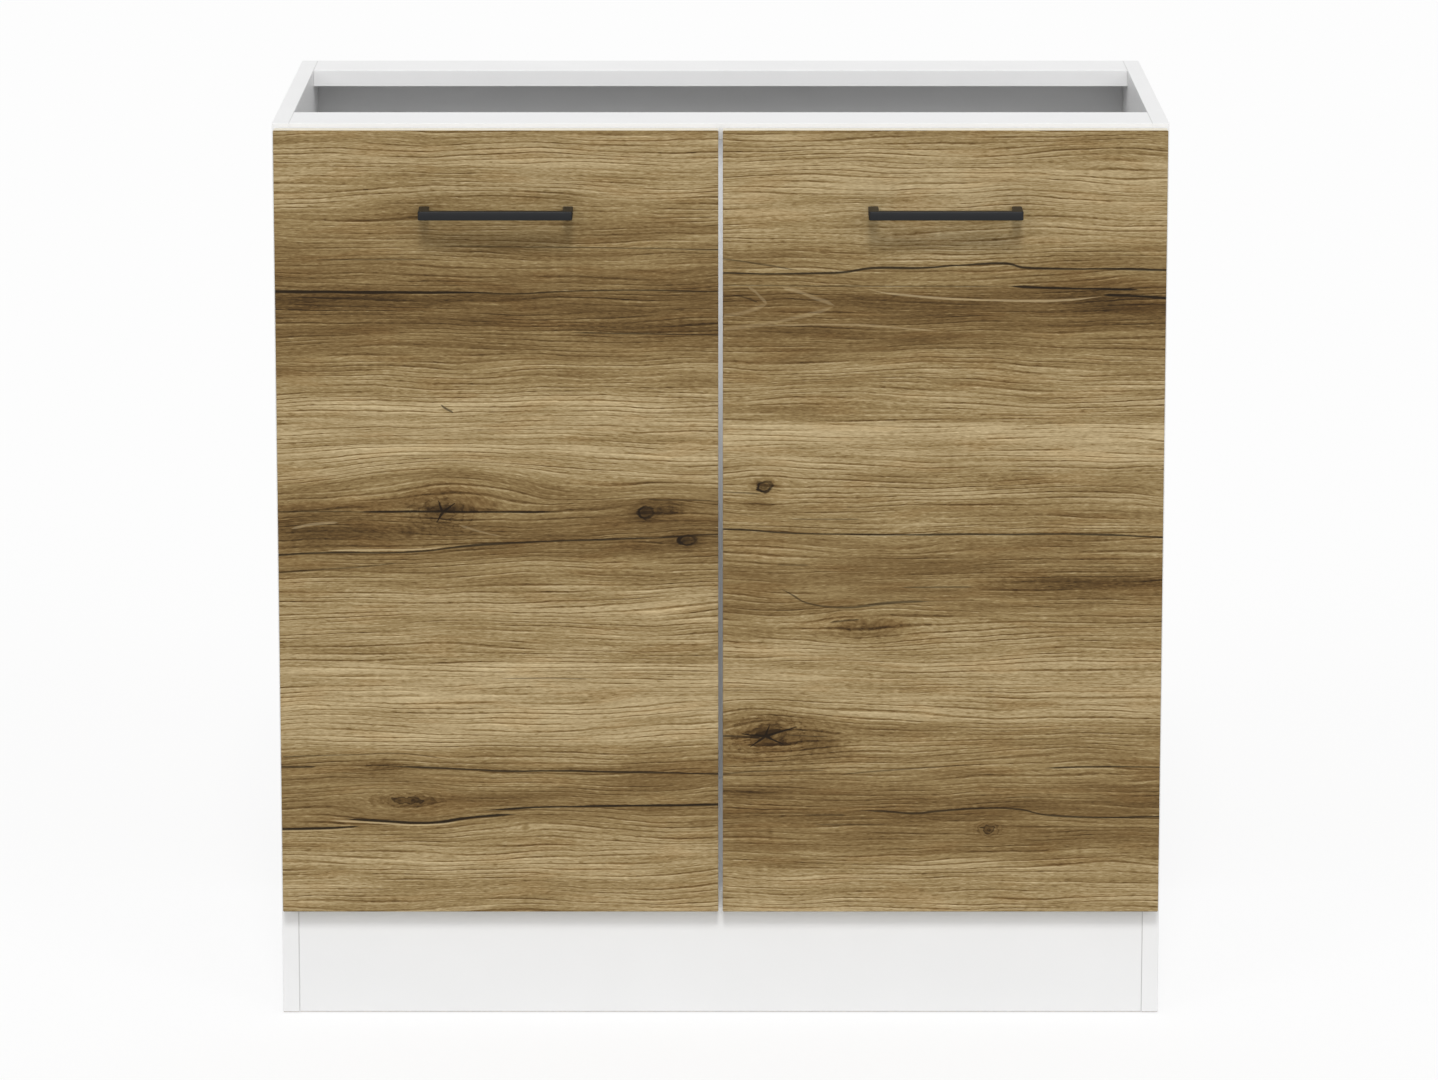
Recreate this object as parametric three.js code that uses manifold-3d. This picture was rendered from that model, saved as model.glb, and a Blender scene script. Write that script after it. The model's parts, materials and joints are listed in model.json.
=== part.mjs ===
// Sink base cabinet: an open-topped carcass on a plinth, with two doors on concealed cup hinges.
// Millimetres. +X to the right, +Y to the back, +Z up. The origin is on the floor, at the middle of the
// cabinet's width and of its overall depth from the handles' front to the back board's rear face.
import * as THREE from 'three';
import { ConvexGeometry } from 'three/addons/geometries/ConvexGeometry.js';
import { mergeVertices, toCreasedNormals } from 'three/addons/utils/BufferGeometryUtils.js';
import Module from 'manifold-3d';

const wasm = await Module();
wasm.setup();

// Carcass
const cabinetWidth = 800;
const cabinetHeight = 820; // floor to the top of the sides
const carcassDepth = 445;
const boardThickness = 15;
const boardEase = 0.4; // chamfer along a board's edges
const baseHeight = 100; // floor to the underside of the bottom board
const plinthSetback = 1;
const frontRailWidth = 75;
const rearRailWidth = 75;
const backThickness = 3;
const backInset = 1; // from the back board's edges to the carcass outline

// Doors
const doorThickness = 16;
const doorEase = 0.6;
const doorStandoff = 1.5; // door's inner face to the carcass front
const doorSideReveal = 2;
const doorTopReveal = 4;
const doorMiddleGap = 4;

// Handles
const handleHoleSpacing = 128;
const handleBar = 8; // height and depth of the square bar
const handleLegWidth = 9;
const handleProjection = 33;
const handleDrop = 72; // door's top edge to the middle of the bar
const handleEase = 0.8;
const handleCorner = 1.5; // rounding of the bend from the bar into a leg

// Floor glides, pushed into the sides' lower edges
const glideProud = 1;
const glideRadius = 5.5;
const glidePinRadius = 1.2;
const glidePinLength = 12;
const glideRound = 0.8;
const glidePoint = 2;
const glideInset = 45; // from the carcass front and rear

// Door buffers
const bufferRadius = 4;
const bufferInset = 30; // from a door's meeting edge
const bufferRim = 0.6; // height of the straight rim under the dome
const bufferRound = 1;
const bufferTopInset = 1.5; // door's top edge to the upper buffer

// Screws
const runningGap = 0.3; // round pieces to their bores
const joinerLength = 50; // the carcass's long joining screws
const joinerRadius = 3.4;
const joinerHeadRadius = 5;
const joinerHeadHeight = 2.4;
const joinerSink = 0.8; // head below the side's face, where a cap sits
const joinerPoint = 2;
const joinerSocketRadius = 2.3; // six-sided key socket
const joinerSocketDepth = 1.6;
const joinerInset = 50; // bottom board's screws, from the carcass front and rear
const handleScrewRadius = 2;
const handleScrewHeadRadius = 4;
const handleScrewHeadHeight = 2.4;
const handleScrewBite = 11; // length inside the handle's leg
const handleScrewRim = 1.5; // straight height of the head, below its round top
const handleScrewRound = 1.2;
const handleScrewCross = { reach: 2.2, half: 0.4, depth: 1.3 };

// Hinges. In a hinge's own plan, u runs inward from the side board's inner face and v runs inward
// from the carcass front. Angles of both links are a fixed share of the door's, so their pins' places
// decide how the door swings out past the side board.
const hingeInset = 95; // door's top and bottom edges to a hinge's middle
const cupRadius = 17.5;
const cupEdge = 4; // door's edge to the cup's bore
const cupDepth = 12;
const cupBoreDepth = 12.5;
const cupWall = 0.8;
const cupLip = 1.5;
const cupFloorRound = 1.5;
const flangeThickness = 1;
const flangeWidth = 13;
const flangeScrewSpacing = 45;
const flangeScrewOffset = 9.5; // from the cup's middle, away from the door's edge
const flangeScrewRadius = 2.2;
const cupPinRadius = 1.2;
const cupPinEdge = 8; // door's edge to both cup pins
const deepPinDepth = 7.7; // below the door's inner face
const shallowPinDepth = 2.5;
const saddleInner = 5.4; // half of the space between the cup's two pin plates
const saddleThickness = 1.5;
const saddleReach = { outward: 2, inward: 4, shoulder: 2.8 }; // from the cup pins, along u
const saddleBelowFace = 0.8;
const slotCentre = new THREE.Vector2(-0.67, -0.76); // from the shallow pin, to the middle of its play
const slotPlay = 1.33;
const armPinRadius = 1.3;
const armPinFromWall = 9; // far wall of the cup's bore to the front arm pin
const armPinDepth = 4; // front arm pin below the door's inner face
const armPinSpread = new THREE.Vector2(2.3, 10.1); // from the front arm pin to the rear one
const armInner = 5.4; // half of the channel's inner width
const armSteel = 1.4;
const armPinProud = 0.4;
const armNoseRadius = 2.8;
const armNoseRise = 4.5; // rear arm pin to the top of the arm's nose
const armNoseFront = 3.4; // rear arm pin to the front of the nose's top
const armNoseBack = 6.4; // rear arm pin to where the top starts to fall
const armSlope = 12; // length of the fall from the nose to the tail
const armTailTop = 15;
const armTailLow = 3.2;
const armTailCorner = 4;
const armLength = 58;
const armUnderside = { start: 7, step: 18, end: 25, rise: 5 }; // steps of the lower edge, along v
const fixingSlotReach = 3;
const outerLinkHalf = 3; // half of the solid link's width
const outerLinkBand = 2.2;
const outerEyeWall = 0.8;
const innerLinkCheekIn = 3.5;
const innerLinkCheekOut = 5;
const innerLinkBand = 2;
const innerEyeWall = 1;
const innerStubBoss = 1.6;
const innerStubRadius = 1;
const innerStubEnd = 6.6;
const plateSetback = 37; // carcass front to the mounting plate's screws
const plateScrewSpacing = 32;
const plateScrewRadius = 2.3;
const plateWingRadius = 6;
const plateThickness = 2.4;
const plateRailHalf = 4.9;
const plateRailWall = 1.2;
const plateRailFront = 22;
const plateRailRear = 54;
const adjusterV = 30; // side-adjusting screw
const fixingV = 47; // screw that clamps the arm
const armScrewRadius = 2.5;
const armScrewHeadRadius = 3.9;
const armScrewHeadHeight = 2;
const armScrewHeadRound = 0.7;
const armScrewTip = 3; // below the mounting plate's rail
const grubScrewProud = 0.9;
const armScrewCross = { headReach: 2.4, grubReach: 1.6, half: 0.45, depth: 1.2 };

// Worked out from the sizes above
const overallDepth = handleProjection + doorThickness + doorStandoff + carcassDepth + backThickness;
const handleFrontY = -overallDepth / 2;
const doorFrontY = handleFrontY + handleProjection;
const doorBackY = doorFrontY + doorThickness;
const carcassFrontY = doorBackY + doorStandoff;
const carcassRearY = carcassFrontY + carcassDepth;
const innerHalf = cabinetWidth / 2 - boardThickness;
const doorTop = cabinetHeight - doorTopReveal;
const doorBottom = baseHeight;
const doorOuterX = cabinetWidth / 2 - doorSideReveal;
const doorInnerX = doorMiddleGap / 2;
const doorMiddleX = (doorOuterX + doorInnerX) / 2;
const handleZ = doorTop - handleDrop;
const railZ = cabinetHeight - boardThickness / 2;
const bottomZ = baseHeight + boardThickness / 2;
const doorOverlay = boardThickness - doorSideReveal;
const cupU = -doorOverlay + cupEdge + cupRadius;
const deepPin = new THREE.Vector2(-doorOverlay + cupPinEdge, -doorStandoff - deepPinDepth);
const shallowPin = new THREE.Vector2(-doorOverlay + cupPinEdge, -doorStandoff - shallowPinDepth);
const frontArmPin = new THREE.Vector2(cupU + cupRadius - armPinFromWall, -doorStandoff - armPinDepth);
const rearArmPin = new THREE.Vector2().addVectors(frontArmPin, armPinSpread);
const armNoseTop = rearArmPin.x + armNoseRise;
const plateRailTop = armTailTop - armSteel - runningGap;

const steps = { fine: 26, medium: 14, coarse: 10 };
const through = 1; // how far a cutting shape runs past the face that it opens

const finishes = {
  whiteBoard: { color: 0xf0f0ee, roughness: 0.5, metalness: 0 },
  backBoard: { color: 0xe9e9e6, roughness: 0.6, metalness: 0 },
  oak: { color: 0xa67c4f, roughness: 0.55, metalness: 0 },
  blackMetal: { color: 0x2b2c2e, roughness: 0.5, metalness: 0.6 },
  nickel: { color: 0xc9c8c4, roughness: 0.3, metalness: 1 },
  zinc: { color: 0xb6b8bb, roughness: 0.4, metalness: 1 },
  darkPlastic: { color: 0x3c3d3f, roughness: 0.6, metalness: 0 },
  clearRubber: { color: 0xdedfdc, roughness: 0.3, metalness: 0 },
};

// Solids

function solidOf(geometry) {
  const bare = geometry.clone();
  bare.deleteAttribute('normal');
  bare.deleteAttribute('uv');
  const merged = mergeVertices(bare, 1e-4);
  const mesh = new wasm.Mesh({
    numProp: 3,
    vertProperties: merged.attributes.position.array,
    triVerts: new Uint32Array(merged.index.array),
  });
  return new wasm.Manifold(mesh);
}

function geometryOf(solid) {
  const mesh = solid.getMesh();
  const geometry = new THREE.BufferGeometry();
  geometry.setAttribute('position', new THREE.BufferAttribute(mesh.vertProperties, 3));
  geometry.setIndex(new THREE.BufferAttribute(mesh.triVerts, 1));
  return toCreasedNormals(geometry, Math.PI / 6);
}

function join(first, ...others) {
  return others.reduce((whole, piece) => whole.add(piece), first);
}

function cut(first, ...others) {
  return others.reduce((whole, piece) => whole.subtract(piece), first);
}

// A box between two corners, with its edges and corners eased when ease is above 0
function board(low, high, ease = 0) {
  const corners = [];
  const levels = [low, high];
  for (const x of [0, 1]) {
    for (const y of [0, 1]) {
      for (const z of [0, 1]) {
        const corner = [levels[x][0], levels[y][1], levels[z][2]];
        const inward = [1 - 2 * x, 1 - 2 * y, 1 - 2 * z];
        for (let full = 0; full < 3; full += 1) {
          const point = corner.map((value, axis) => (axis === full ? value : value + inward[axis] * ease));
          corners.push(new THREE.Vector3(...point));
        }
      }
    }
  }
  return solidOf(new ConvexGeometry(corners));
}

// A round bar between two points
function rod(from, to, radius, sides = steps.coarse) {
  const start = new THREE.Vector3(...from);
  const along = new THREE.Vector3(...to).sub(start);
  const geometry = new THREE.CylinderGeometry(radius, radius, along.length(), sides);
  const turn = new THREE.Quaternion().setFromUnitVectors(
    new THREE.Vector3(0, 1, 0),
    along.clone().normalize(),
  );
  geometry.applyQuaternion(turn);
  geometry.translate(...start.addScaledVector(along, 0.5).toArray());
  return solidOf(geometry);
}

// A turned piece: profile pairs are radius and height, and the height runs along +Y
function turned(profile, sides = steps.medium) {
  const points = profile.map(([radius, height]) => new THREE.Vector2(radius, height));
  return new THREE.LatheGeometry(points, sides);
}

// An outline in plan, raised between two heights
function raised(shape, low, high, curveSegments = 8) {
  const geometry = new THREE.ExtrudeGeometry(shape, {
    depth: high - low,
    bevelEnabled: false,
    curveSegments,
  });
  geometry.translate(0, 0, low);
  return solidOf(geometry);
}

function outline(points) {
  return new THREE.Shape(points.map(([x, y]) => new THREE.Vector2(x, y)));
}

// A band of even width along a curve, from one share of its length to another;
// its two edges lie at the given distances to the curve's left
function bandOutline(curve, from, to, right, left) {
  const count = 6;
  const near = [];
  const far = [];
  for (let i = 0; i <= count; i += 1) {
    const share = from + ((to - from) * i) / count;
    const point = curve.getPointAt(share);
    const tangent = curve.getTangentAt(share);
    const normal = new THREE.Vector2(-tangent.y, tangent.x);
    near.push(point.clone().addScaledVector(normal, right));
    far.push(point.clone().addScaledVector(normal, left));
  }
  return new THREE.Shape([...near, ...far.reverse()]);
}

function pinAt(point, low, high, radius, sides) {
  return rod([point.x, point.y, low], [point.x, point.y, high], radius, sides);
}

const model = new THREE.Group();

function place(name, shape, finish, parent = model) {
  const geometry = shape.isBufferGeometry ? shape : geometryOf(shape);
  const mesh = new THREE.Mesh(geometry, new THREE.MeshStandardMaterial(finishes[finish]));
  mesh.name = name;
  parent.add(mesh);
  return mesh;
}

const sides = [
  { name: 'left', sign: -1 },
  { name: 'right', sign: 1 },
];

// Carcass joining screws, each from a side's outer face into the end of a board
const joiners = [
  { name: 'bottom_front', y: carcassFrontY + joinerInset, z: bottomZ },
  { name: 'bottom_rear', y: carcassRearY - joinerInset, z: bottomZ },
  { name: 'front_rail', y: carcassFrontY + frontRailWidth / 2, z: railZ },
  { name: 'rear_rail', y: carcassRearY - rearRailWidth / 2, z: railZ },
];

function joinerProfile(extra, start, point) {
  const head = joinerHeadRadius + extra;
  const shank = joinerRadius + extra;
  const tip = joinerLength + extra;
  return [
    [0, start],
    [head, start],
    [head, joinerSink + joinerHeadHeight],
    [shank, joinerSink + joinerHeadHeight],
    [shank, tip - point],
    [shank - point * 0.7, tip],
    [0, tip],
  ];
}

// Turns a piece that was made along +Y so that it runs inward from a side's outer face
function inwardFrom(side, geometry, y, z) {
  geometry.rotateZ(side.sign * (Math.PI / 2));
  geometry.translate((side.sign * cabinetWidth) / 2, y, z);
  return geometry;
}

function joinerBore(side, at) {
  const profile = joinerProfile(runningGap, -through, 0);
  profile.splice(-2, 1); // a bore has no point
  return solidOf(inwardFrom(side, turned(profile, steps.coarse), at.y, at.z));
}

const joinerBores = sides.flatMap((side) => joiners.map((at) => joinerBore(side, at)));

function joinerScrew(side, at) {
  const profile = joinerProfile(0, joinerSink, joinerPoint);
  const screw = solidOf(inwardFrom(side, turned(profile, steps.coarse), at.y, at.z));
  const headX = side.sign * (cabinetWidth / 2 - joinerSink);
  const socket = rod(
    [headX + side.sign * through, at.y, at.z],
    [headX - side.sign * joinerSocketDepth, at.y, at.z],
    joinerSocketRadius,
    6,
  );
  return screw.subtract(socket);
}

const glideYs = [
  { name: 'front', y: carcassFrontY + glideInset },
  { name: 'rear', y: carcassRearY - glideInset },
];

function sideBoard(side) {
  const outer = (side.sign * cabinetWidth) / 2;
  const inner = side.sign * innerHalf;
  const low = [Math.min(outer, inner), carcassFrontY, glideProud];
  const high = [Math.max(outer, inner), carcassRearY, cabinetHeight];
  const pinHoles = glideYs.map(({ y }) => rod(
    [(outer + inner) / 2, y, 0],
    [(outer + inner) / 2, y, glideProud + glidePinLength + runningGap],
    glidePinRadius + runningGap,
    steps.coarse,
  ));
  return cut(board(low, high, boardEase), ...joinerBores, ...pinHoles);
}

function acrossBoard(yFront, yRear, zLow, zHigh) {
  const low = [-innerHalf, yFront, zLow];
  const high = [innerHalf, yRear, zHigh];
  return cut(board(low, high, boardEase), ...joinerBores);
}

for (const side of sides) {
  place(`side_panel_${side.name}`, sideBoard(side), 'whiteBoard');
}
place(
  'bottom_panel',
  acrossBoard(carcassFrontY, carcassRearY, baseHeight, baseHeight + boardThickness),
  'whiteBoard',
);
place(
  'top_rail_front',
  acrossBoard(carcassFrontY, carcassFrontY + frontRailWidth, cabinetHeight - boardThickness, cabinetHeight),
  'whiteBoard',
);
place(
  'top_rail_rear',
  acrossBoard(carcassRearY - rearRailWidth, carcassRearY, cabinetHeight - boardThickness, cabinetHeight),
  'whiteBoard',
);
place(
  'plinth_board',
  board(
    [-innerHalf, carcassFrontY + plinthSetback, glideProud],
    [innerHalf, carcassFrontY + plinthSetback + boardThickness, baseHeight],
    boardEase,
  ),
  'whiteBoard',
);
place(
  'back_panel',
  board(
    [-cabinetWidth / 2 + backInset, carcassRearY, baseHeight + backInset],
    [cabinetWidth / 2 - backInset, carcassRearY + backThickness, cabinetHeight - backInset],
  ),
  'backBoard',
);

for (const side of sides) {
  for (const at of joiners) {
    place(`joining_screw_${at.name}_${side.name}`, joinerScrew(side, at), 'zinc');
  }
}

// Floor glides: a button with a nail that goes up into the side's lower edge
function glide() {
  const tip = glideProud + glidePinLength;
  return turned([
    [0, 0],
    [glideRadius - glideRound, 0],
    [glideRadius, glideProud / 2],
    [glideRadius, glideProud],
    [glidePinRadius, glideProud],
    [glidePinRadius, tip - glidePoint],
    [0, tip],
  ], steps.coarse);
}

for (const side of sides) {
  for (const at of glideYs) {
    const geometry = glide();
    geometry.rotateX(Math.PI / 2);
    const mesh = place(`floor_glide_${at.name}_${side.name}`, geometry, 'darkPlastic');
    mesh.position.set(side.sign * (innerHalf + boardThickness / 2), at.y, 0);
  }
}

// Doors
const legXs = [-handleHoleSpacing / 2, handleHoleSpacing / 2];
const hingeZs = [
  { name: 'lower', z: doorBottom + hingeInset },
  { name: 'upper', z: doorTop - hingeInset },
];

function door(side) {
  const edges = [side.sign * doorInnerX, side.sign * doorOuterX];
  const low = [Math.min(...edges), doorFrontY, doorBottom];
  const high = [Math.max(...edges), doorBackY, doorTop];
  const cupX = side.sign * (innerHalf - cupU);
  const cupBores = hingeZs.map(({ z }) => rod(
    [cupX, doorBackY + through, z],
    [cupX, doorBackY - cupBoreDepth, z],
    cupRadius,
    steps.fine,
  ));
  const screwBores = legXs.map((x) => rod(
    [side.sign * doorMiddleX + x, doorFrontY - through, handleZ],
    [side.sign * doorMiddleX + x, doorBackY + through, handleZ],
    handleScrewRadius + runningGap,
    steps.coarse,
  ));
  return cut(board(low, high, doorEase), ...cupBores, ...screwBores);
}

// Handle: a square bar bent round to two legs, seen from above as a flat U
function handle(middleX) {
  const outer = handleHoleSpacing / 2 + handleLegWidth / 2 - handleEase;
  const inner = handleHoleSpacing / 2 - handleLegWidth / 2 + handleEase;
  const front = -handleProjection + handleEase;
  const back = -handleProjection + handleBar - handleEase;
  const bend = handleCorner;
  const shape = new THREE.Shape();
  shape.moveTo(-outer, 0);
  shape.lineTo(-outer, front + bend);
  shape.absarc(-outer + bend, front + bend, bend, Math.PI, Math.PI * 1.5);
  shape.lineTo(outer - bend, front);
  shape.absarc(outer - bend, front + bend, bend, Math.PI * 1.5, Math.PI * 2);
  shape.lineTo(outer, 0);
  shape.lineTo(inner, 0);
  shape.lineTo(inner, back);
  shape.lineTo(-inner, back);
  shape.lineTo(-inner, 0);
  const geometry = new THREE.ExtrudeGeometry(shape, {
    depth: handleBar - 2 * handleEase,
    bevelThickness: handleEase,
    bevelSize: handleEase,
    bevelSegments: 2,
    curveSegments: 2,
  });
  geometry.translate(middleX, doorFrontY, handleZ - handleBar / 2 + handleEase);
  const reach = outer + handleEase + through;
  const behindDoorFace = board(
    [middleX - reach, doorFrontY, handleZ - handleBar],
    [middleX + reach, doorFrontY + handleEase + through, handleZ + handleBar],
  );
  const threads = legXs.map((x) => rod(
    [middleX + x, doorFrontY + through, handleZ],
    [middleX + x, doorFrontY - handleScrewBite - through, handleZ],
    handleScrewRadius + runningGap,
    steps.coarse,
  ));
  return cut(solidOf(geometry), behindDoorFace, ...threads);
}

// A cross-shaped driver recess at the end of a screw that points along an axis of the model
function crossRecess(centre, axis, { reach, half, depth }) {
  return [[reach, half], [half, reach]].map((spans) => {
    const low = [...centre];
    const high = [...centre];
    low[axis] -= depth;
    high[axis] += through;
    [0, 1, 2].filter((other) => other !== axis).forEach((other, index) => {
      low[other] -= spans[index];
      high[other] += spans[index];
    });
    return board(low, high);
  });
}

function handleScrew(x) {
  const shank = doorThickness + handleScrewBite;
  const geometry = turned([
    [0, -shank],
    [handleScrewRadius, -shank],
    [handleScrewRadius, 0],
    [handleScrewHeadRadius, 0],
    [handleScrewHeadRadius, handleScrewRim],
    [handleScrewHeadRadius - handleScrewRound, handleScrewHeadHeight],
    [0, handleScrewHeadHeight],
  ], steps.coarse);
  geometry.translate(x, doorBackY, handleZ);
  const top = [x, doorBackY + handleScrewHeadHeight, handleZ];
  return cut(solidOf(geometry), ...crossRecess(top, 1, handleScrewCross));
}

// Buffer: a small soft dome on the door's inner face that meets the carcass front
function buffer() {
  return turned([
    [0, 0],
    [bufferRadius, 0],
    [bufferRadius, bufferRim],
    [bufferRadius - bufferRound, doorStandoff],
    [0, doorStandoff],
  ], steps.coarse);
}

const bufferZs = [
  { name: 'lower', z: bottomZ },
  { name: 'upper', z: doorTop - bufferRadius - bufferTopInset },
];

for (const side of sides) {
  const middleX = side.sign * doorMiddleX;
  place(`door_${side.name}`, door(side), 'oak');
  place(`handle_${side.name}`, handle(middleX), 'blackMetal');
  legXs.forEach((x, index) => {
    place(`handle_screw_${side.name}_${index + 1}`, handleScrew(middleX + x), 'zinc');
  });
  for (const at of bufferZs) {
    const mesh = place(`door_buffer_${at.name}_${side.name}`, buffer(), 'clearRubber');
    mesh.position.set(side.sign * (doorInnerX + bufferInset), doorBackY, at.z);
  }
}

// Hinge cup: a pressed cup with a flange, two upright pin plates, the deep pin between them and
// a slot in each plate for the inner link's stubs
function hingeCup() {
  const outer = cupRadius - runningGap;
  const face = -doorStandoff;
  const floor = face - cupDepth;
  const top = face + flangeThickness;
  const shell = turned([
    [0, floor],
    [outer - cupFloorRound, floor],
    [outer, floor + cupFloorRound],
    [outer, face],
    [outer + cupLip, face],
    [outer + cupLip, top],
    [outer - cupWall, top],
    [outer - cupWall, floor + cupWall],
    [0, floor + cupWall],
  ], steps.fine);
  shell.translate(cupU, 0, 0);
  const earU = cupU + flangeScrewOffset;
  const earZ = flangeScrewSpacing / 2;
  const ears = [-earZ, earZ].map((z) => rod([earU, face, z], [earU, top, z], flangeWidth / 2, steps.medium));
  const strap = board(
    [earU - flangeWidth / 2, face, -earZ],
    [earU + flangeWidth / 2, top, earZ],
  );
  const mouth = rod(
    [cupU, face - through, 0],
    [cupU, top + through, 0],
    outer - cupWall,
    steps.fine,
  );
  const flange = cut(join(strap, ...ears), mouth);
  const linkNotch = board(
    [-doorOverlay, face - shallowPinDepth - slotPlay * 3, -saddleInner],
    [deepPin.x, top + through, saddleInner],
  );
  const plateOutline = outline([
    [deepPin.x - saddleReach.outward, floor + cupWall / 2],
    [deepPin.x + saddleReach.inward, floor + cupWall / 2],
    [deepPin.x + saddleReach.inward, shallowPin.y],
    [deepPin.x + saddleReach.shoulder, face - saddleBelowFace],
    [deepPin.x - saddleReach.outward, face - saddleBelowFace],
  ]);
  const slot = new THREE.Vector2().addVectors(shallowPin, slotCentre);
  const slotRadius = innerStubRadius + slotPlay + runningGap;
  const saddles = [-1, 1].map((sign) => {
    const near = sign * saddleInner;
    const far = sign * (saddleInner + saddleThickness);
    return raised(plateOutline, Math.min(near, far), Math.max(near, far));
  });
  const slots = [-1, 1].map((sign) => {
    const near = sign * (saddleInner - through / 2);
    const far = sign * (saddleInner + saddleThickness + through / 2);
    return pinAt(slot, Math.min(near, far), Math.max(near, far), slotRadius, steps.coarse);
  });
  const pinEnd = saddleInner + saddleThickness / 2;
  const screwHoles = [-earZ, earZ].map((z) => rod(
    [earU, face - through, z],
    [earU, top + through, z],
    flangeScrewRadius,
    steps.coarse,
  ));
  const shellWithPlates = join(cut(join(solidOf(shell), flange), linkNotch), ...saddles);
  const pin = pinAt(deepPin, -pinEnd, pinEnd, cupPinRadius);
  return join(cut(shellWithPlates, ...slots, ...screwHoles), pin);
}

// Hinge arm: a steel channel with an open front that carries the two arm pins
function hingeArm() {
  const slopeStart = rearArmPin.y + armNoseBack;
  const slopeEnd = slopeStart + armSlope;
  const shape = new THREE.Shape();
  shape.moveTo(frontArmPin.x - armNoseRadius, frontArmPin.y);
  shape.absarc(frontArmPin.x, frontArmPin.y, armNoseRadius, Math.PI, Math.PI * 2);
  shape.lineTo(armNoseTop, rearArmPin.y - armNoseFront);
  shape.lineTo(armNoseTop, slopeStart);
  shape.lineTo(armTailTop, slopeEnd);
  shape.lineTo(armTailTop, armLength);
  shape.lineTo(armTailLow + armTailCorner, armLength);
  shape.lineTo(armTailLow, armLength - armTailCorner);
  shape.lineTo(armTailLow, armUnderside.end);
  shape.lineTo(armTailLow + armUnderside.rise, armUnderside.step);
  shape.lineTo(frontArmPin.x - armNoseRadius, armUnderside.start);
  const half = armInner + armSteel;
  const body = raised(shape, -half, half, 5);
  const front = frontArmPin.y - armNoseRadius - through;
  const rear = armLength + through;
  const channel = raised(outline([
    [armNoseTop - armSteel, front],
    [armNoseTop - armSteel, slopeStart - armSteel / 2],
    [armTailTop - armSteel, slopeEnd - armSteel / 2],
    [armTailTop - armSteel, rear],
    [0, rear],
    [0, front],
  ]), -armInner, armInner);
  const pinEnd = half + armPinProud;
  const pins = [frontArmPin, rearArmPin].map((at) => pinAt(at, -pinEnd, pinEnd, armPinRadius));
  const top = armTailTop + through;
  const low = armTailTop - armSteel - through;
  const slotHalf = armScrewRadius + runningGap;
  const slotEnds = [fixingV - fixingSlotReach, fixingV + fixingSlotReach];
  const fixingSlot = join(
    ...slotEnds.map((v) => rod([low, v, 0], [top, v, 0], slotHalf)),
    board([low, slotEnds[0], -slotHalf], [top, slotEnds[1], slotHalf]),
  );
  const adjusterHole = rod([low, adjusterV, 0], [top, adjusterV, 0], slotHalf);
  return join(cut(body, channel, fixingSlot, adjusterHole), ...pins);
}

// Mounting plate: two wings on the side board and a pressed rail that the arm straddles
function mountingPlate() {
  const wingZ = plateScrewSpacing / 2;
  const radius = plateWingRadius;
  const wings = join(
    rod([0, plateSetback, -wingZ], [plateThickness, plateSetback, -wingZ], radius, steps.medium),
    rod([0, plateSetback, wingZ], [plateThickness, plateSetback, wingZ], radius, steps.medium),
    board([0, plateSetback - radius, -wingZ], [plateThickness, plateSetback + radius, wingZ]),
  );
  const rail = board(
    [0, plateRailFront, -plateRailHalf],
    [plateRailTop, plateRailRear, plateRailHalf],
  );
  const hollow = board(
    [-through, plateRailFront - through, -plateRailHalf + plateRailWall],
    [plateRailTop - plateRailWall, plateRailRear + through, plateRailHalf - plateRailWall],
  );
  const holes = [-wingZ, wingZ].map((z) => rod(
    [-through, plateSetback, z],
    [plateThickness + through, plateSetback, z],
    plateScrewRadius,
  ));
  const screwHoles = [adjusterV, fixingV].map((v) => rod(
    [plateRailTop - plateRailWall - through, v, 0],
    [plateRailTop + through, v, 0],
    armScrewRadius + runningGap,
  ));
  return cut(join(wings, rail), hollow, ...holes, ...screwHoles);
}

// A link's middle line from its cup pin to its arm pin; a point between is a share of the way in u,
// and its v
function linkCurve(cupPin, armPin, between) {
  const points = between.map(([share, v]) => new THREE.Vector2(
    THREE.MathUtils.lerp(cupPin.x, armPin.x, share),
    v,
  ));
  return new THREE.SplineCurve([cupPin, ...points, armPin]);
}

// Outer link: a solid bar that dips under the door's edge as it passes from the arm into the cup
function outerLink() {
  const lowest = -doorStandoff - cupDepth + cupWall + runningGap + outerLinkBand / 2;
  const curve = linkCurve(deepPin, frontArmPin, [
    [0.07, lowest + 0.5],
    [0.23, lowest],
    [0.43, lowest + 0.1],
    [0.68, frontArmPin.y - 3.7],
  ]);
  const half = outerLinkHalf;
  const bar = raised(bandOutline(curve, 0, 1, -outerLinkBand / 2, outerLinkBand / 2), -half, half);
  const eyes = [
    pinAt(deepPin, -half, half, cupPinRadius + runningGap + outerEyeWall),
    pinAt(frontArmPin, -half, half, armPinRadius + runningGap + outerEyeWall),
  ];
  const bores = [
    pinAt(deepPin, -half - through, half + through, cupPinRadius + runningGap),
    pinAt(frontArmPin, -half - through, half + through, armPinRadius + runningGap),
  ];
  return cut(join(bar, ...eyes), ...bores);
}

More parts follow.
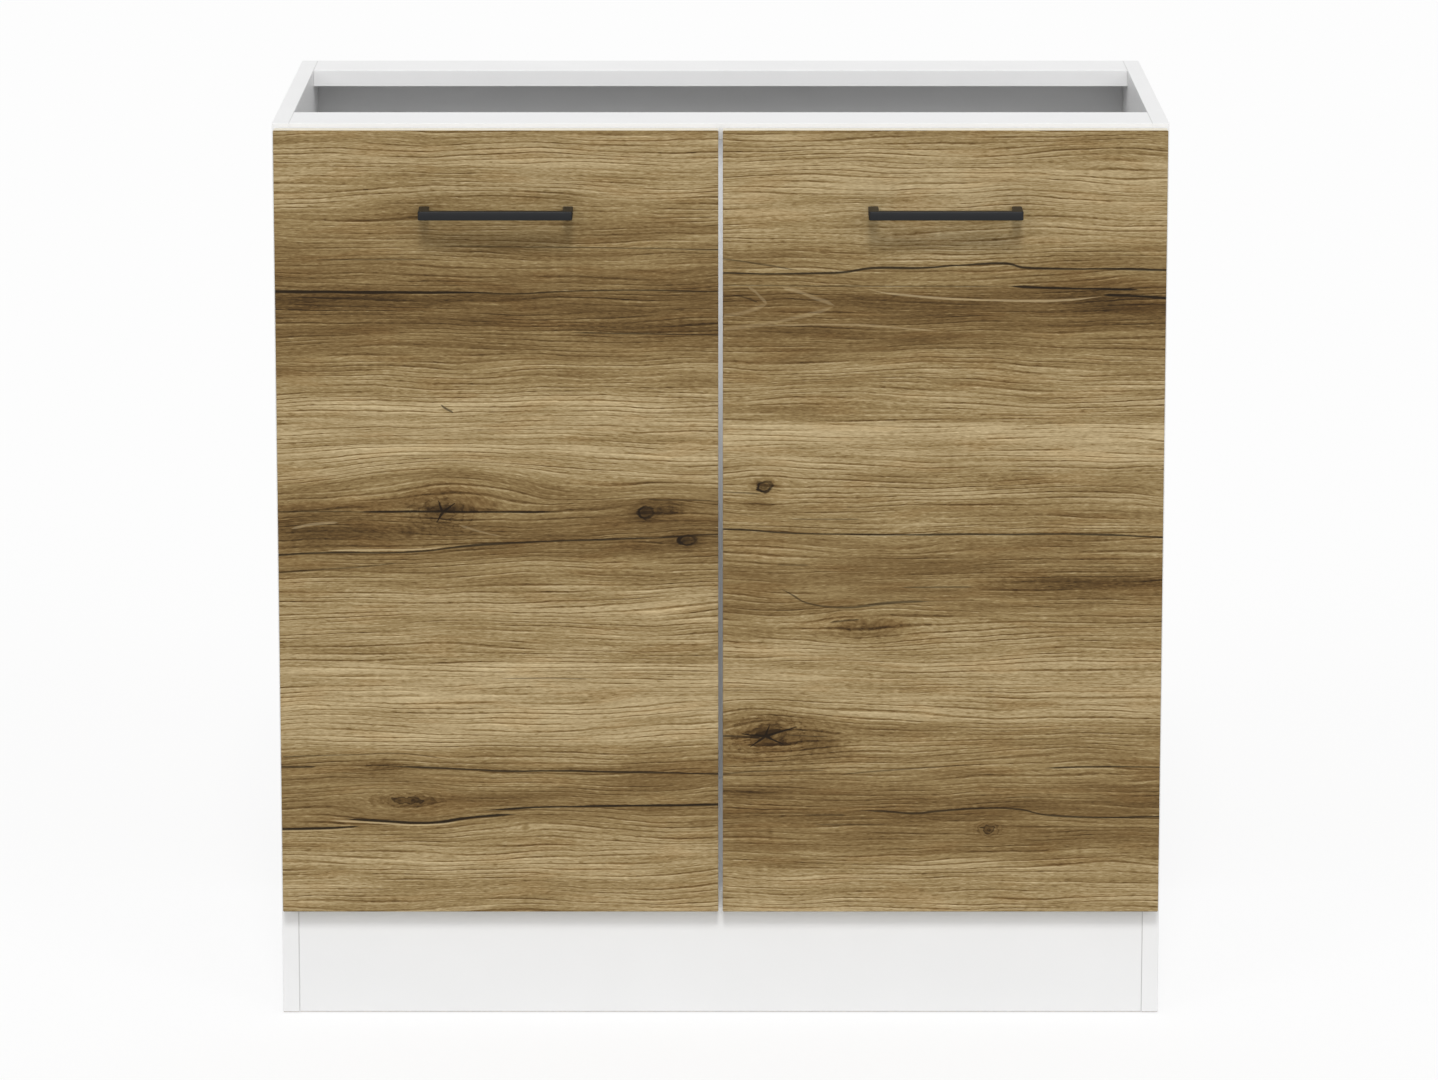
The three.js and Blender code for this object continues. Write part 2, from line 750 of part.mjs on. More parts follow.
// Inner link: two cheeks either side of the outer link, tied by a bridge near the arm
function innerLink() {
  const curve = linkCurve(shallowPin, rearArmPin, [
    [0.08, shallowPin.y - 1.4],
    [0.25, shallowPin.y - 1.6],
    [0.54, rearArmPin.y - 6.5],
  ]);
  const half = innerLinkBand / 2;
  const cheeks = [-1, 1].map((sign) => {
    const near = sign * innerLinkCheekIn;
    const far = sign * innerLinkCheekOut;
    const low = Math.min(near, far);
    const high = Math.max(near, far);
    const stub = [near, sign * innerStubEnd];
    return cut(
      join(
        raised(bandOutline(curve, 0, 1, -half, half), low, high),
        pinAt(shallowPin, low, high, innerStubBoss),
        pinAt(rearArmPin, low, high, armPinRadius + runningGap + innerEyeWall),
        pinAt(shallowPin, Math.min(...stub), Math.max(...stub), innerStubRadius),
      ),
      pinAt(rearArmPin, low - through, high + through, armPinRadius + runningGap),
    );
  });
  const reach = (innerLinkCheekIn + innerLinkCheekOut) / 2;
  const bridge = raised(bandOutline(curve, 0.5, 0.8, 0, half), -reach, reach);
  return join(bridge, ...cheeks);
}

// A screw along u with its head on the arm; without a head it is a grub screw
function armScrew(v, withHead) {
  const tip = plateRailTop - plateRailWall - armScrewTip;
  const top = armTailTop + (withHead ? armScrewHeadHeight : grubScrewProud);
  const head = [
    [armScrewRadius, armTailTop],
    [armScrewHeadRadius, armTailTop],
    [armScrewHeadRadius, top - armScrewHeadRound],
    [armScrewHeadRadius - armScrewHeadRound, top],
  ];
  const geometry = turned([
    [0, tip],
    [armScrewRadius, tip],
    ...(withHead ? head : [[armScrewRadius, top]]),
    [0, top],
  ], steps.coarse);
  geometry.rotateZ(-Math.PI / 2);
  geometry.translate(0, v, 0);
  const { headReach, grubReach, half, depth } = armScrewCross;
  const cross = { reach: withHead ? headReach : grubReach, half, depth };
  return cut(solidOf(geometry), ...crossRecess([top, v, 0], 0, cross));
}

const hingePieces = [
  { name: 'cup', make: hingeCup, finish: 'nickel' },
  { name: 'arm', make: hingeArm, finish: 'nickel' },
  { name: 'mounting_plate', make: mountingPlate, finish: 'nickel' },
  { name: 'outer_link', make: outerLink, finish: 'nickel' },
  { name: 'inner_link', make: innerLink, finish: 'nickel' },
  { name: 'adjusting_screw', make: () => armScrew(adjusterV, false), finish: 'zinc' },
  { name: 'fixing_screw', make: () => armScrew(fixingV, true), finish: 'zinc' },
].map((piece) => ({ ...piece, geometry: geometryOf(piece.make()) }));

// The hinge is drawn for the left side, and a mirrored group carries it on the right
for (const side of sides) {
  for (const at of hingeZs) {
    const group = new THREE.Group();
    group.position.set(side.sign * innerHalf, carcassFrontY, at.z);
    group.scale.x = -side.sign;
    for (const piece of hingePieces) {
      place(`hinge_${piece.name}_${at.name}_${side.name}`, piece.geometry, piece.finish, group);
    }
    model.add(group);
  }
}

export default model;
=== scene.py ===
import json
import math

import bmesh
import bpy
from mathutils import Matrix, Vector


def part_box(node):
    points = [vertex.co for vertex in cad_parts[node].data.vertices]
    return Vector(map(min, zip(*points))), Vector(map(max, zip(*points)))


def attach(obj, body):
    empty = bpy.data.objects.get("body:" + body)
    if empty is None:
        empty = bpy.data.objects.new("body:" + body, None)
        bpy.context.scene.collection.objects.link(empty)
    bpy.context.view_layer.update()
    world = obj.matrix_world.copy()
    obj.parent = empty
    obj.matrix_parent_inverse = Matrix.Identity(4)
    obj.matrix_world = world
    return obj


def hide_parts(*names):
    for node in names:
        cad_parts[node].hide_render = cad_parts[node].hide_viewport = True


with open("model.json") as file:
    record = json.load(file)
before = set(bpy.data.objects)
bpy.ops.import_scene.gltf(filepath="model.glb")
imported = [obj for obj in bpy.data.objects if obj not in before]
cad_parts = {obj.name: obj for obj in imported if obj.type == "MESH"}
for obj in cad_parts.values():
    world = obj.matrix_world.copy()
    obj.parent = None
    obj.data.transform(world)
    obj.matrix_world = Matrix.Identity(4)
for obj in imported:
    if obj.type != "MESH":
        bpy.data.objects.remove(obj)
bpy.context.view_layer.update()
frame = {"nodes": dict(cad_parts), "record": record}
nodes = frame["nodes"]
bodyOf = {node: body for body, held in frame["record"]["behaviour"]["bodies"].items() for node in held}
mm = 0.001
sides = {"left": -1, "right": 1}
levels = ("lower", "upper")


def spanOf(node):
    # lowest and highest corner of a node, in millimetres
    low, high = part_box(node)
    return low / mm, high / mm


def tint(red, green, blue):
    # a colour given as 0 to 255, turned into linear light by the screen's own curve
    def linear(value):
        share = value / 255
        if share <= 0.04045:
            return share / 12.92
        return ((share + 0.055) / 1.055) ** 2.4
    return (linear(red), linear(green), linear(blue), 1)


def tints(colours):
    return [tint(*colour) for colour in colours]


def grey(level):
    return (level, level, level, 1)


class Wire:
    # one output socket: arithmetic on it adds Math nodes to its look
    def __init__(self, look, socket):
        self.look = look
        self.socket = socket

    def math(self, operation, *values, clamp=False):
        settings = {"operation": operation, "use_clamp": clamp}
        return self.look.add("ShaderNodeMath", settings, dict(enumerate(values)))

    def __add__(self, other):
        return self.math("ADD", self, other)

    def __radd__(self, other):
        return self.math("ADD", other, self)

    def __sub__(self, other):
        return self.math("SUBTRACT", self, other)

    def __rsub__(self, other):
        return self.math("SUBTRACT", other, self)

    def __mul__(self, other):
        return self.math("MULTIPLY", self, other)

    def __rmul__(self, other):
        return self.math("MULTIPLY", other, self)

    def __truediv__(self, other):
        return self.math("DIVIDE", self, other)

    def __rtruediv__(self, other):
        return self.math("DIVIDE", other, self)

    def __pow__(self, other):
        return self.math("POWER", self, other)

    def __rpow__(self, other):
        return self.math("POWER", other, self)

    def __abs__(self):
        return self.math("ABSOLUTE", self)

    def __gt__(self, other):
        return self.math("GREATER_THAN", self, other)

    def __lt__(self, other):
        return self.math("LESS_THAN", self, other)

    def clamped(self):
        return self.math("ADD", self, 0, clamp=True)

    def most(self, other):
        return self.math("MAXIMUM", self, other)

    def sine(self):
        return self.math("SINE", self)

    def root(self):
        return self.math("SQRT", self)


class Look:
    # the nodes of one material, or of the world
    def __init__(self, name, world=False):
        holders = bpy.data.worlds if world else bpy.data.materials
        self.holder = holders.new(name)
        self.holder.use_nodes = True
        self.tree = self.holder.node_tree
        self.tree.nodes.clear()
        self.output = self.tree.nodes.new("ShaderNodeOutputWorld" if world else "ShaderNodeOutputMaterial")

    def feed(self, socket, value):
        if isinstance(value, Wire):
            self.tree.links.new(value.socket, socket)
        else:
            socket.default_value = value

    def add(self, kind, settings=None, values=None, output=0):
        node = self.tree.nodes.new(kind)
        for name, value in (settings or {}).items():
            if name == "stops":
                self.setStops(node.color_ramp, value)
            elif name == "points":
                self.setPoints(node.mapping, value)
            else:
                setattr(node, name, value)
        for key, value in (values or {}).items():
            self.feed(node.inputs[key], value)
        return Wire(self, node.outputs[output])

    def setStops(self, ramp, stops):
        for position, colour in stops[2:]:
            ramp.elements.new(position)
        for element, (position, colour) in zip(ramp.elements, stops):
            element.position = position
            element.color = colour

    def setPoints(self, mapping, points):
        curve = mapping.curves[0]
        for place in points[2:]:
            curve.points.new(*place)
        for point, place in zip(curve.points, points):
            point.location = place
        mapping.update()

    def axes(self, output):
        vector = self.add("ShaderNodeTexCoord", output=output)
        parts = self.add("ShaderNodeSeparateXYZ", values={0: vector})
        return [Wire(self, socket) for socket in parts.socket.node.outputs]

    def places(self):
        # the piece's own x, y and z in millimetres
        return [axis / mm for axis in self.axes("Object")]

    def facing(self):
        return self.axes("Normal")

    def noise(self, *axes, detail=2.0, rough=0.5):
        # a value about 0, mostly within a quarter to either side, from two or three axes
        place = self.add("ShaderNodeCombineXYZ", values=dict(enumerate(axes)))
        settings = {"noise_dimensions": str(len(axes)) + "D"}
        values = {"Vector": place, "Scale": 1.0, "Detail": detail, "Roughness": rough}
        return self.add("ShaderNodeTexNoise", settings, values) - 0.5

    def even(self, places, size, detail=2.0):
        # noise of one size, in millimetres, in all three directions
        return self.noise(*[place / size for place in places], detail=detail)

    def fade(self, value, start, end):
        # smooth step from 0 at start to 1 at end
        settings = {"interpolation_type": "SMOOTHSTEP"}
        return self.add("ShaderNodeMapRange", settings, {0: value, 1: start, 2: end})

    def scale(self, value, stops):
        # levels read along a value from 0 to 1; the product turns the ramp's grey into a number
        greys = [(place, grey(level)) for place, level in stops]
        return self.add("ShaderNodeValToRGB", {"stops": greys}, {0: value}) * 1.0

    def blend(self, factor, first, second, way="MIX"):
        settings = {"data_type": "RGBA", "blend_type": way}
        return self.add("ShaderNodeMix", settings, {0: factor, 6: first, 7: second}, output=2)

    def bump(self, height, distance):
        # height in shares of distance, which is in millimetres
        return self.add("ShaderNodeBump", values={"Height": height, "Distance": distance * mm})

    def show(self, shader):
        self.tree.links.new(shader.socket, self.output.inputs["Surface"])
        return self.holder

    def surface(self, **values):
        named = {name.replace("_", " "): value for name, value in values.items()}
        return self.show(self.add("ShaderNodeBsdfPrincipled", values=named))


print("frame loaded, building the looks")

# White melamine faces, and the chipboard under them that shows in bores and on bare edges.
white = {
    "face": ((240, 240, 240), (235, 235, 235)),
    "cloud": 90.0,  # size of the faint clouds in the face
    "pearl": 1.6,  # size of the pimples in its relief
    "rough": 0.42,
    "gloss": 0.4,
    "relief": 0.05,
    "seam": 0.8,  # thickness of the edge band, seen as a line on the faces beside it
    "seamFade": (0.22, 0.05),  # how far from that line it starts, and is full
    "jointFade": (0.7, 0.1),  # the same for the line where two boards meet
    "lineColour": (190, 190, 188),
    "lineShare": 0.5,
    "chips": ((112, 86, 56), (150, 122, 84), (186, 160, 118)),
    "chipStops": (0.0, 0.45, 1.0),
    "chipSize": (2.9, 2.9, 1.1),
    "chipRough": 0.4,  # added to the face's roughness
    "rawBelow": 6.0,  # undersides lower than this are raw
    "edge": 1.0,  # a place within this of a board's edge is on it
    "inner": 0.5,  # and this far past a side's inner face it is in that side
}
square, askew = 0.6, 0.5  # a face looks along an axis above the first, and doesn't below the second


def melamine(look, places):
    # colour, roughness and fine relief of the pressed white face
    cloud = look.even(places, white["cloud"])
    pearl = look.even(places, white["pearl"])
    colour = look.blend((cloud * 1.2 + 0.5).clamped(), *tints(white["face"]))
    return colour, cloud * 0.08 + pearl * 0.06 + white["rough"], pearl


def chipboard(look, places):
    # colour and relief of pressed chips
    sized = [place / size for place, size in zip(places, white["chipSize"])]
    place = look.add("ShaderNodeCombineXYZ", values=dict(enumerate(sized)))
    cells = look.add("ShaderNodeTexVoronoi", {"feature": "F1"}, {"Vector": place, "Scale": 1.0}, output=1)
    pick = look.add("ShaderNodeSeparateColor", values={0: cells})
    stops = list(zip(white["chipStops"], tints(white["chips"])))
    return look.add("ShaderNodeValToRGB", {"stops": stops}, {0: pick}), pick


def whiteMaterial():
    look = Look("whiteMelamine")
    low, high = spanOf("side_panel_left")
    innerFace = abs(high.x)
    rail = spanOf("top_rail_rear")[0]
    plinthTop = spanOf("plinth_board")[1].z
    edge, inner = white["edge"], white["inner"]
    places = look.places()
    x, y, z = places
    nx, ny, nz = look.facing()
    face, rough, pearl = melamine(look, places)

    onRail = (abs(x) < innerFace - inner) * (z > rail.z - edge)
    frontSeam = look.fade(abs(y - (low.y + white["seam"])), *white["seamFade"])
    railSeam = look.fade(abs(y - (rail.y + white["seam"])), *white["seamFade"]) * onRail
    seam = frontSeam.most(railSeam) * (abs(ny) < askew)
    onTop = (nz > square) * (z > high.z - edge)
    besidePlinth = (ny < -square) * (z < plinthTop)
    joint = look.fade(abs(abs(x) - innerFace), *white["jointFade"]) * onTop.most(besidePlinth)
    face = look.blend(seam.most(joint) * white["lineShare"], face, tint(*white["lineColour"]))

    raw, pick = chipboard(look, places)
    underneath = (nz < -square) * (z < white["rawBelow"])
    rearEdge = (ny > square) * (y > high.y - edge)
    inBore = (abs(nx) < askew) * (abs(x) > innerFace + inner)
    inBore = inBore * (z < high.z - edge) * (z > low.z + edge)
    inBore = inBore * (y > low.y + edge) * (y < high.y - edge)
    bare = underneath.most(rearEdge).most(inBore)
    return look.surface(
        Base_Color=look.blend(bare, face, raw),
        Roughness=(rough + bare * white["chipRough"]).clamped(),
        Normal=look.bump(pearl * 0.5 + pick * bare, white["relief"]),
        Specular_IOR_Level=white["gloss"],
    )


# Oak decor on the doors' front faces. Shades run from 0 to 1, and lengths are millimetres.
oak = {
    "colours": (
        (0.20, (54, 39, 21)),
        (0.34, (93, 71, 40)),
        (0.45, (121, 97, 60)),
        (0.56, (149, 127, 86)),
        (0.67, (178, 157, 118)),
        (0.84, (210, 190, 149)),
    ),
    "rosy": (168, 138, 108),  # the redder cast that some stretches have
    "rosyPatch": (70, 12),
    "rosyFade": (0.02, 0.22),
    "rosyShare": 0.16,
    "crack": (31, 22, 12),
    "crackPatch": (60, 9),  # size of the patches where cracks are thicker or thinner
    "crackShare": 0.95,
    # pale line colour: painted highlight on the lower lips of cracks, also used for pale curls in the
    # grain
    "curlAndLipHighlight": (206, 184, 142),
    "curlAndLipHighlightShare": 0.75,
    "knotPatch": (6, 5),  # size of the unevenness in the outlines of knots
    "growth": 4.7,  # from one growth line to the next
    "growthFade": (0.45, 0.98),
    "ledgeAfter": 1.5,  # radians from a growth line to the pale ledge beside it
    "ledgeFade": (0.45, 1.0),
    "cling": 0.06,  # how far pores gather on growth lines, and glints on ledges
    "dashFade": (0.13, 0.25),
    "gleamFade": (0.13, 0.24),
    # slow and quick waves of the grain: length, height and how far they lift it
    "wave": (210, 80, 14),
    "ripple": (48, 16, 2.4),
    "boardShift": 350,  # how far the figure jumps where another board begins
    "calm": (0.5, 28),  # near a plank edge the grain runs straight, and bends again from here to here
    "dark": (0.60, 0.46),  # tones from which the figure weakens, and is weakest
    # each layer of figure: length along the grain, width across it, shift, detail and roughness
    "layers": {
        "broad": (330, 17, 0, 2.0, 0.5),
        "streak": (150, 4.6, 0, 2.0, 0.55),
        "fibre": (44, 1.6, 0, 2.0, 0.6),
        "hair": (6, 1.0, 0, 2.0, 0.6),
        "drift": (260, 26, 0, 1.0, 0.5),
        "held": (75, 6.5, 3, 1.0, 0.5),
        "pores": (10, 1.3, 0, 1.0, 0.5),
        "glints": (9, 1.1, 9, 1.0, 0.5),
        "patch": (120, 11, 5, 2.0, 0.5),
    },
    # what a layer adds to the shade of pale wood, and how much of that dark wood lacks
    "weights": {
        "broad": (0.22, 0),
        "patch": (0.20, 0),
        "streak": (0.13, 0),
        "fibre": (0.13, 0),
        "hair": (0.24, 0.02),
        "growth": (-0.18, -0.06),
        "ledge": (0.09, 0.01),
        "dashes": (-0.09, -0.03),
        "gleams": (0.07, 0.005),
    },
    "lighter": 0.010,  # evens out what the layers take off
    "rough": 0.54,
    "gloss": 0.12,
    "relief": 0.10,
    "band": ((236, 229, 210), (228, 219, 198)),  # the doors' edge band
    "bandDepth": 0.9,  # the band's thickness, seen on the faces beside it
}

# The two doors' boards. Places are x across and z up in the cabinet's own frame. The plank edge is where
# two planks meet. Lean is how far the grain rises over a run of 40 at each height, and tones are its
# shade there. Round a knot the grain swells as far as its reach, by its push, and below it only by a
# share of that where one is given. A star's arms are cracks from its middle to these points. A crack is
# its half thickness, its darkness, and the points it runs through. Where the darkness is below 0 the
# line is pale instead: some are a painted highlight on the lower lip of a crack, the rest pale grain
# curls.
leftOak = {
    "seed": 0.0,
    "plank": 331.0,  # where two planks meet in a straight edge
    "lean": ((100, 0.2), (200, 0.5), (300, 0.35), (420, 0.75), (500, 0.1), (620, -0.1), (816, 0.0)),
    "tones": (
        (100, 0.589), (150, 0.598), (172, 0.539), (192, 0.473), (212, 0.471), (238, 0.491), (250, 0.553),
        (264, 0.640), (300, 0.638), (330, 0.643), (331, 0.569), (385, 0.597), (408, 0.554), (430, 0.471),
        (446, 0.421), (474, 0.432), (488, 0.526), (503, 0.601), (520, 0.625), (560, 0.620), (585, 0.558),
        (606, 0.502), (634, 0.423), (660, 0.385), (682, 0.440), (704, 0.489), (726, 0.506), (750, 0.560),
        (786, 0.601), (816, 0.562),
    ),
    "knots": (
        {"kind": "star", "x": -250, "z": 470, "half": (18, 13), "reach": (92, 44), "push": 34,
         "below": 0.25, "arms": ((-3.5, 11), (11, 8.5), (-5.5, -9))},
        {"kind": "ring", "x": -67, "z": 470.5, "half": (7, 5.8), "reach": (30, 12), "push": 7,
         "below": 0.8},
        {"kind": "ring", "x": -30, "z": 445, "half": (8.2, 4.7), "reach": (26, 10), "push": 5,
         "below": 0.9},
        {"kind": "eye", "x": -285, "z": 204, "half": (26, 7), "reach": (44, 13), "push": 9},
        {"kind": "spot", "x": -177, "z": 179, "half": (4, 2.6), "reach": (14, 6), "push": 3},
        {"kind": "spot", "x": -246, "z": 564, "half": (6, 2.6), "reach": (14, 5), "push": 2},
        {"kind": "spot", "x": -330, "z": 660, "half": (90, 9), "reach": (90, 9), "push": 0},
        {"kind": "spot", "x": -350, "z": 453, "half": (70, 11), "reach": (90, 9), "push": 0},
        {"kind": "spot", "x": -75, "z": 636, "half": (80, 7), "reach": (90, 9), "push": 0},
        {"kind": "spot", "x": -280, "z": 452, "half": (6, 4), "reach": (14, 6), "push": 2},
        {"kind": "blur", "x": -46, "z": 474, "half": (13, 6.5), "reach": (20, 9), "push": 3},
        {"kind": "blur", "x": -305, "z": 237, "half": (19, 5), "reach": (34, 10), "push": 6},
    ),
    "cracks": (
        (0.45, 0.55, (-261, 712), (-130, 711), (-2, 709)),
        (0.40, 0.50, (-365, 700), (-258, 700)),
        (0.95, 1.00, (-400, 671), (-300, 670.5), (-200, 670)),
        (0.50, 0.80, (-230, 670), (-190, 669), (-120, 672), (0, 671)),
        (0.50, 0.75, (-136, 634), (-70, 633), (0, 632)),
        (0.50, 0.60, (-400, 471), (-352, 471), (-325, 470.6)),
        (0.80, 1.00, (-338, 470.4), (-262, 470.8), (-200, 470.6), (-138, 471)),
        (0.45, 0.60, (-68, 482.5), (-52, 481.6), (-34, 481.6), (0, 480)),
        (0.75, 0.90, (-400, 431), (-354, 433.3), (-289, 433.5), (-265, 435), (-220, 440), (-176, 442.6),
         (-84, 446), (-37, 447)),
        (0.60, 0.80, (-60, 446.4), (-22, 449.4), (0, 450)),
        (0.60, -0.80, (-356, 435.2), (-310, 435.6), (-270, 436.4), (-246, 438.8)),
        (0.90, -0.40, (-387, 455), (-366, 459), (-343, 461)),
        (0.80, -0.28, (-236, 459), (-214, 452), (-196, 448)),
        (0.45, 0.50, (-400, 415), (-340, 419), (-287, 424)),
        (0.40, 0.55, (-396, 245), (-328, 247), (-293, 248), (-245, 242)),
        (0.60, 0.80, (-400, 235.4), (-366, 235.2)),
        (0.70, 0.90, (-310, 236), (-268, 234.6), (-223, 232.6), (-185, 231.2), (-160, 231.6),
         (-80, 230.4), (0, 229)),
        (1.00, 1.00, (-344, 187), (-311, 185), (-272, 183), (-254, 184), (-236, 187), (-208, 190),
         (-183, 191)),
        (0.60, -0.75, (-356, 185.2), (-311, 183), (-272, 181), (-236, 184.6)),
        (0.85, 1.00, (-217, 194.6), (-193, 196), (-160, 198), (-84, 199), (0, 200.5)),
        (0.90, 1.00, (-400, 177.5), (-366, 178), (-326, 180)),
        (0.50, -0.55, (-398, 175.6), (-366, 176), (-330, 178)),
        (0.40, 0.55, (-200, 317), (-160, 317.6), (-115, 317)),
        (0.90, 0.75, (-251, 569), (-246, 565), (-239, 561)),
    ),
}

rightOak = {
    "seed": 37.0,
    "plank": 552.0,
    "lean": (
        (100, -0.1), (190, -0.1), (260, 0.1), (390, 0.2),
        (450, -0.25), (560, 0.0), (690, 0.05), (816, 0.0),
    ),
    "tones": (
        (100, 0.606), (135, 0.566), (160, 0.496), (176, 0.446), (206, 0.438), (222, 0.489), (250, 0.518),
        (270, 0.527), (286, 0.609), (330, 0.613), (352, 0.574), (368, 0.520), (394, 0.490), (420, 0.468),
        (440, 0.498), (453, 0.554), (484, 0.537), (504, 0.560), (522, 0.629), (535, 0.668), (551, 0.679),
        (552, 0.562), (583, 0.567), (612, 0.523), (634, 0.442), (669, 0.381), (678, 0.469), (698, 0.509),
        (722, 0.588), (765, 0.640), (790, 0.594), (816, 0.520),
    ),
    "knots": (
        {"kind": "ring", "x": 40, "z": 493.5, "half": (7.6, 5.0), "reach": (40, 18), "push": 11,
         "below": 0.7},
        {"kind": "spot", "x": 36, "z": 478, "half": (15, 6), "reach": (24, 9), "push": 3},
        {"kind": "spot", "x": 262, "z": 500, "half": (40, 8), "reach": (40, 8), "push": 2},
        {"kind": "spot", "x": 340, "z": 411, "half": (95, 8), "reach": (90, 9), "push": 1},
        {"kind": "spot", "x": 360, "z": 660, "half": (60, 10), "reach": (90, 9), "push": 1},
        {"kind": "spot", "x": 76, "z": 259, "half": (46, 13), "reach": (40, 10), "push": 4},
        {"kind": "spot", "x": 44, "z": 267, "half": (25, 11), "reach": (40, 10), "push": 0},
        {"kind": "spot", "x": 92, "z": 258, "half": (26, 9), "reach": (40, 10), "push": 0},
        {"kind": "spot", "x": 325, "z": 403, "half": (78, 8), "reach": (90, 9), "push": 1},
        {"kind": "spot", "x": 22, "z": 214, "half": (34, 5), "reach": (30, 9), "push": 1},
        {"kind": "blur", "x": 136, "z": 365, "half": (33, 9), "reach": (62, 20), "push": 15, "below": 0.8},
        {"kind": "star", "x": 41, "z": 264, "half": (30, 16), "reach": (78, 30), "push": 26,
         "below": 0.6, "arms": ((-14, -10), (28, 8.5), (16, -8), (3, 10), (-22, 2))},
        {"kind": "eye", "x": 243, "z": 177, "half": (11, 6.5), "reach": (18, 9), "push": 4},
    ),
    "cracks": (
        (0.50, 0.60, (0, 701), (30, 697), (68, 690)),
        (0.75, 0.95, (0, 688), (99, 688), (111, 689), (137, 692.5), (175, 692.5), (213, 695),
         (255, 696.5), (270, 693), (299, 692), (355, 691.5), (400, 690.5)),
        (0.40, 0.55, (0, 677), (120, 676), (262, 676)),
        (1.00, 1.00, (255, 676), (308, 674), (346, 673.5), (378, 672.6)),
        (0.95, 1.00, (340, 668), (372, 667), (400, 665)),
        (0.75, -0.60, (127, 675), (146, 670), (175, 667), (251, 663), (299, 663), (344, 667)),
        (1.30, -0.26, (24, 675.4), (31, 671), (36, 666), (42, 660)),
        (1.30, -0.22, (3, 649), (20, 652), (32, 656), (42, 660)),
        (1.40, -0.30, (54, 675.4), (68, 671.5), (83, 666), (94, 662), (103, 658)),
        (1.40, -0.24, (3, 637), (52, 644), (80, 651), (94, 655), (103, 658)),
        (0.70, -0.34, (34, 640), (110, 641), (200, 634.7)),
        (0.50, 0.60, (10, 668), (24, 665), (34, 661)),
        (0.45, 0.60, (0, 489), (20, 488), (38, 487)),
        (0.65, 0.90, (0, 455), (26, 454), (53, 452), (92, 450.4), (229, 450), (333, 450), (400, 447)),
        (0.40, 0.50, (60, 464), (128, 464)),
        (0.40, 0.50, (50, 422), (80, 422)),
        (0.80, 0.70, (50, 402), (62, 396), (78, 387), (110, 383), (152, 387), (192, 389)),
        (0.40, 0.60, (160, 401.5), (231, 401.5)),
        (0.50, 0.65, (98, 369), (126, 372)),
        (0.60, 0.75, (0, 264), (20, 263.6), (38, 262)),
        (0.50, 0.60, (60, 265), (95, 263.5)),
        (0.45, 0.50, (0, 228.5), (27, 231), (54, 231.5), (99, 232)),
        (0.45, 0.50, (106, 228), (152, 232), (240, 238)),
        (0.60, 0.85, (292, 234), (340, 235.5), (400, 235)),
        (0.70, 0.85, (114, 194), (145, 194), (179, 192), (194, 194), (237, 197), (268, 196),
         (297, 190.5), (400, 189)),
        (0.45, 0.55, (75, 190.5), (115, 190.5)),
        (0.40, 0.45, (84, 181.5), (154, 181.5)),
    ),
}

crackShape = {
    "span": 60.0,  # no crack rises or falls by more
    "least": 0.12,  # half thickness of the finest part
    "taper": 0.14,  # share of its length in which an end thins out
    "tip": 0.01,  # half thickness at the very end of a tapered one
    "inDoor": (3, 396),  # ends between these, from the cabinet's middle, lie inside a door
    "fade": (1.5, 0.5),
}
armShape = {"thick": 1.7, "thinning": 1.3, "fade": (1.1, 0.5)}

# Knots, with distances as shares of their half size. A disc is where its shade starts, where it is full,
# and its strength. Rings are how close they lie, from and to which height of their wave they are drawn,
# where they start, where they are full, and their strength. An outline is where it lies, how far from
# there it starts and is full, and its strength.
knotKinds = {
    "star": {"discs": ((1.15, 0.3, 0.085), (2.8, 0.7, 0.055)), "rings": (13, 0.5, 1.0, 2.6, 0.8, 0.08)},
    "ring": {"discs": ((1.2, 0.75, 0.08), (2.8, 0.9, 0.08))},
    "eye": {"discs": ((1.5, 0.4, 0.06), (0.62, 0.25, 0.09)), "rings": (16, 0.1, 0.95, 1.7, 0.9, 0.07),
            "outline": (0.5, 0.14, 0.03, 0.5)},
    "blur": {"discs": ((1.3, 0.2, 0.11), (2.4, 0.8, 0.03)), "rings": (10, 0.4, 1.0, 1.8, 0.6, 0.04)},
    "spot": {"discs": ((1.5, 0.2, 0.09),)},
}

# a ring knot's broken outline is drawn more strongly at the lower left, and filled in there
brokenRing = {
    "slant": (-0.5, -0.2),
    "unsteady": 1.5,
    "drawn": 0.75,  # how strongly, on average
    "lies": 0.84,
    "line": (0.34, 0.08),
    "fill": (0.8, 0.3),
    "fillFrom": 0.4,
    "fillShare": 1.2,
}


def strongest(marks):
    best = marks[0]
    for mark in marks[1:]:
        best = best.most(mark)
    return best


def crackMark(look, x, z, strength, half, ink, path):
    # 1 on the crack's line and 0 off it; ends that lie inside the door taper out
    start, end = path[0][0], path[-1][0]
    heights = [place[1] for place in path]
    middle = (min(heights) + max(heights)) / 2
    span, taper = crackShape["span"], crackShape["taper"]
    nearest, farthest = crackShape["inDoor"]
    along = (x - start) / (end - start)
    points = [((px - start) / (end - start), 0.5 + (pz - middle) / span) for px, pz in path]
    level = look.add("ShaderNodeFloatCurve", {"points": points}, {1: along})
    away = abs(z - (level * span + (middle - span / 2)))
    thickness = strength * half + crackShape["least"]
    for tip, share, thinned in ((start, 0.0, taper), (end, 1.0, 1 - taper)):
        if nearest < abs(tip) < farthest:
            thickness = thickness * look.fade(along, share, thinned)
    inside = (along > 0) * (along < 1)
    return look.fade(away / (thickness + crackShape["tip"]), *crackShape["fade"]) * inside * abs(ink)


def armMark(look, across, upright, arm):
    # a short crack from a knot's middle out to a point, thick at the middle
    length = math.hypot(*arm)
    ux, uz = arm[0] / length, arm[1] / length
    along = (across * ux + upright * uz) / length
    away = abs(across * uz - upright * ux)
    thickness = armShape["thick"] - along * armShape["thinning"]
    return look.fade(away / thickness, *armShape["fade"]) * (along > 0) * (along < 1)


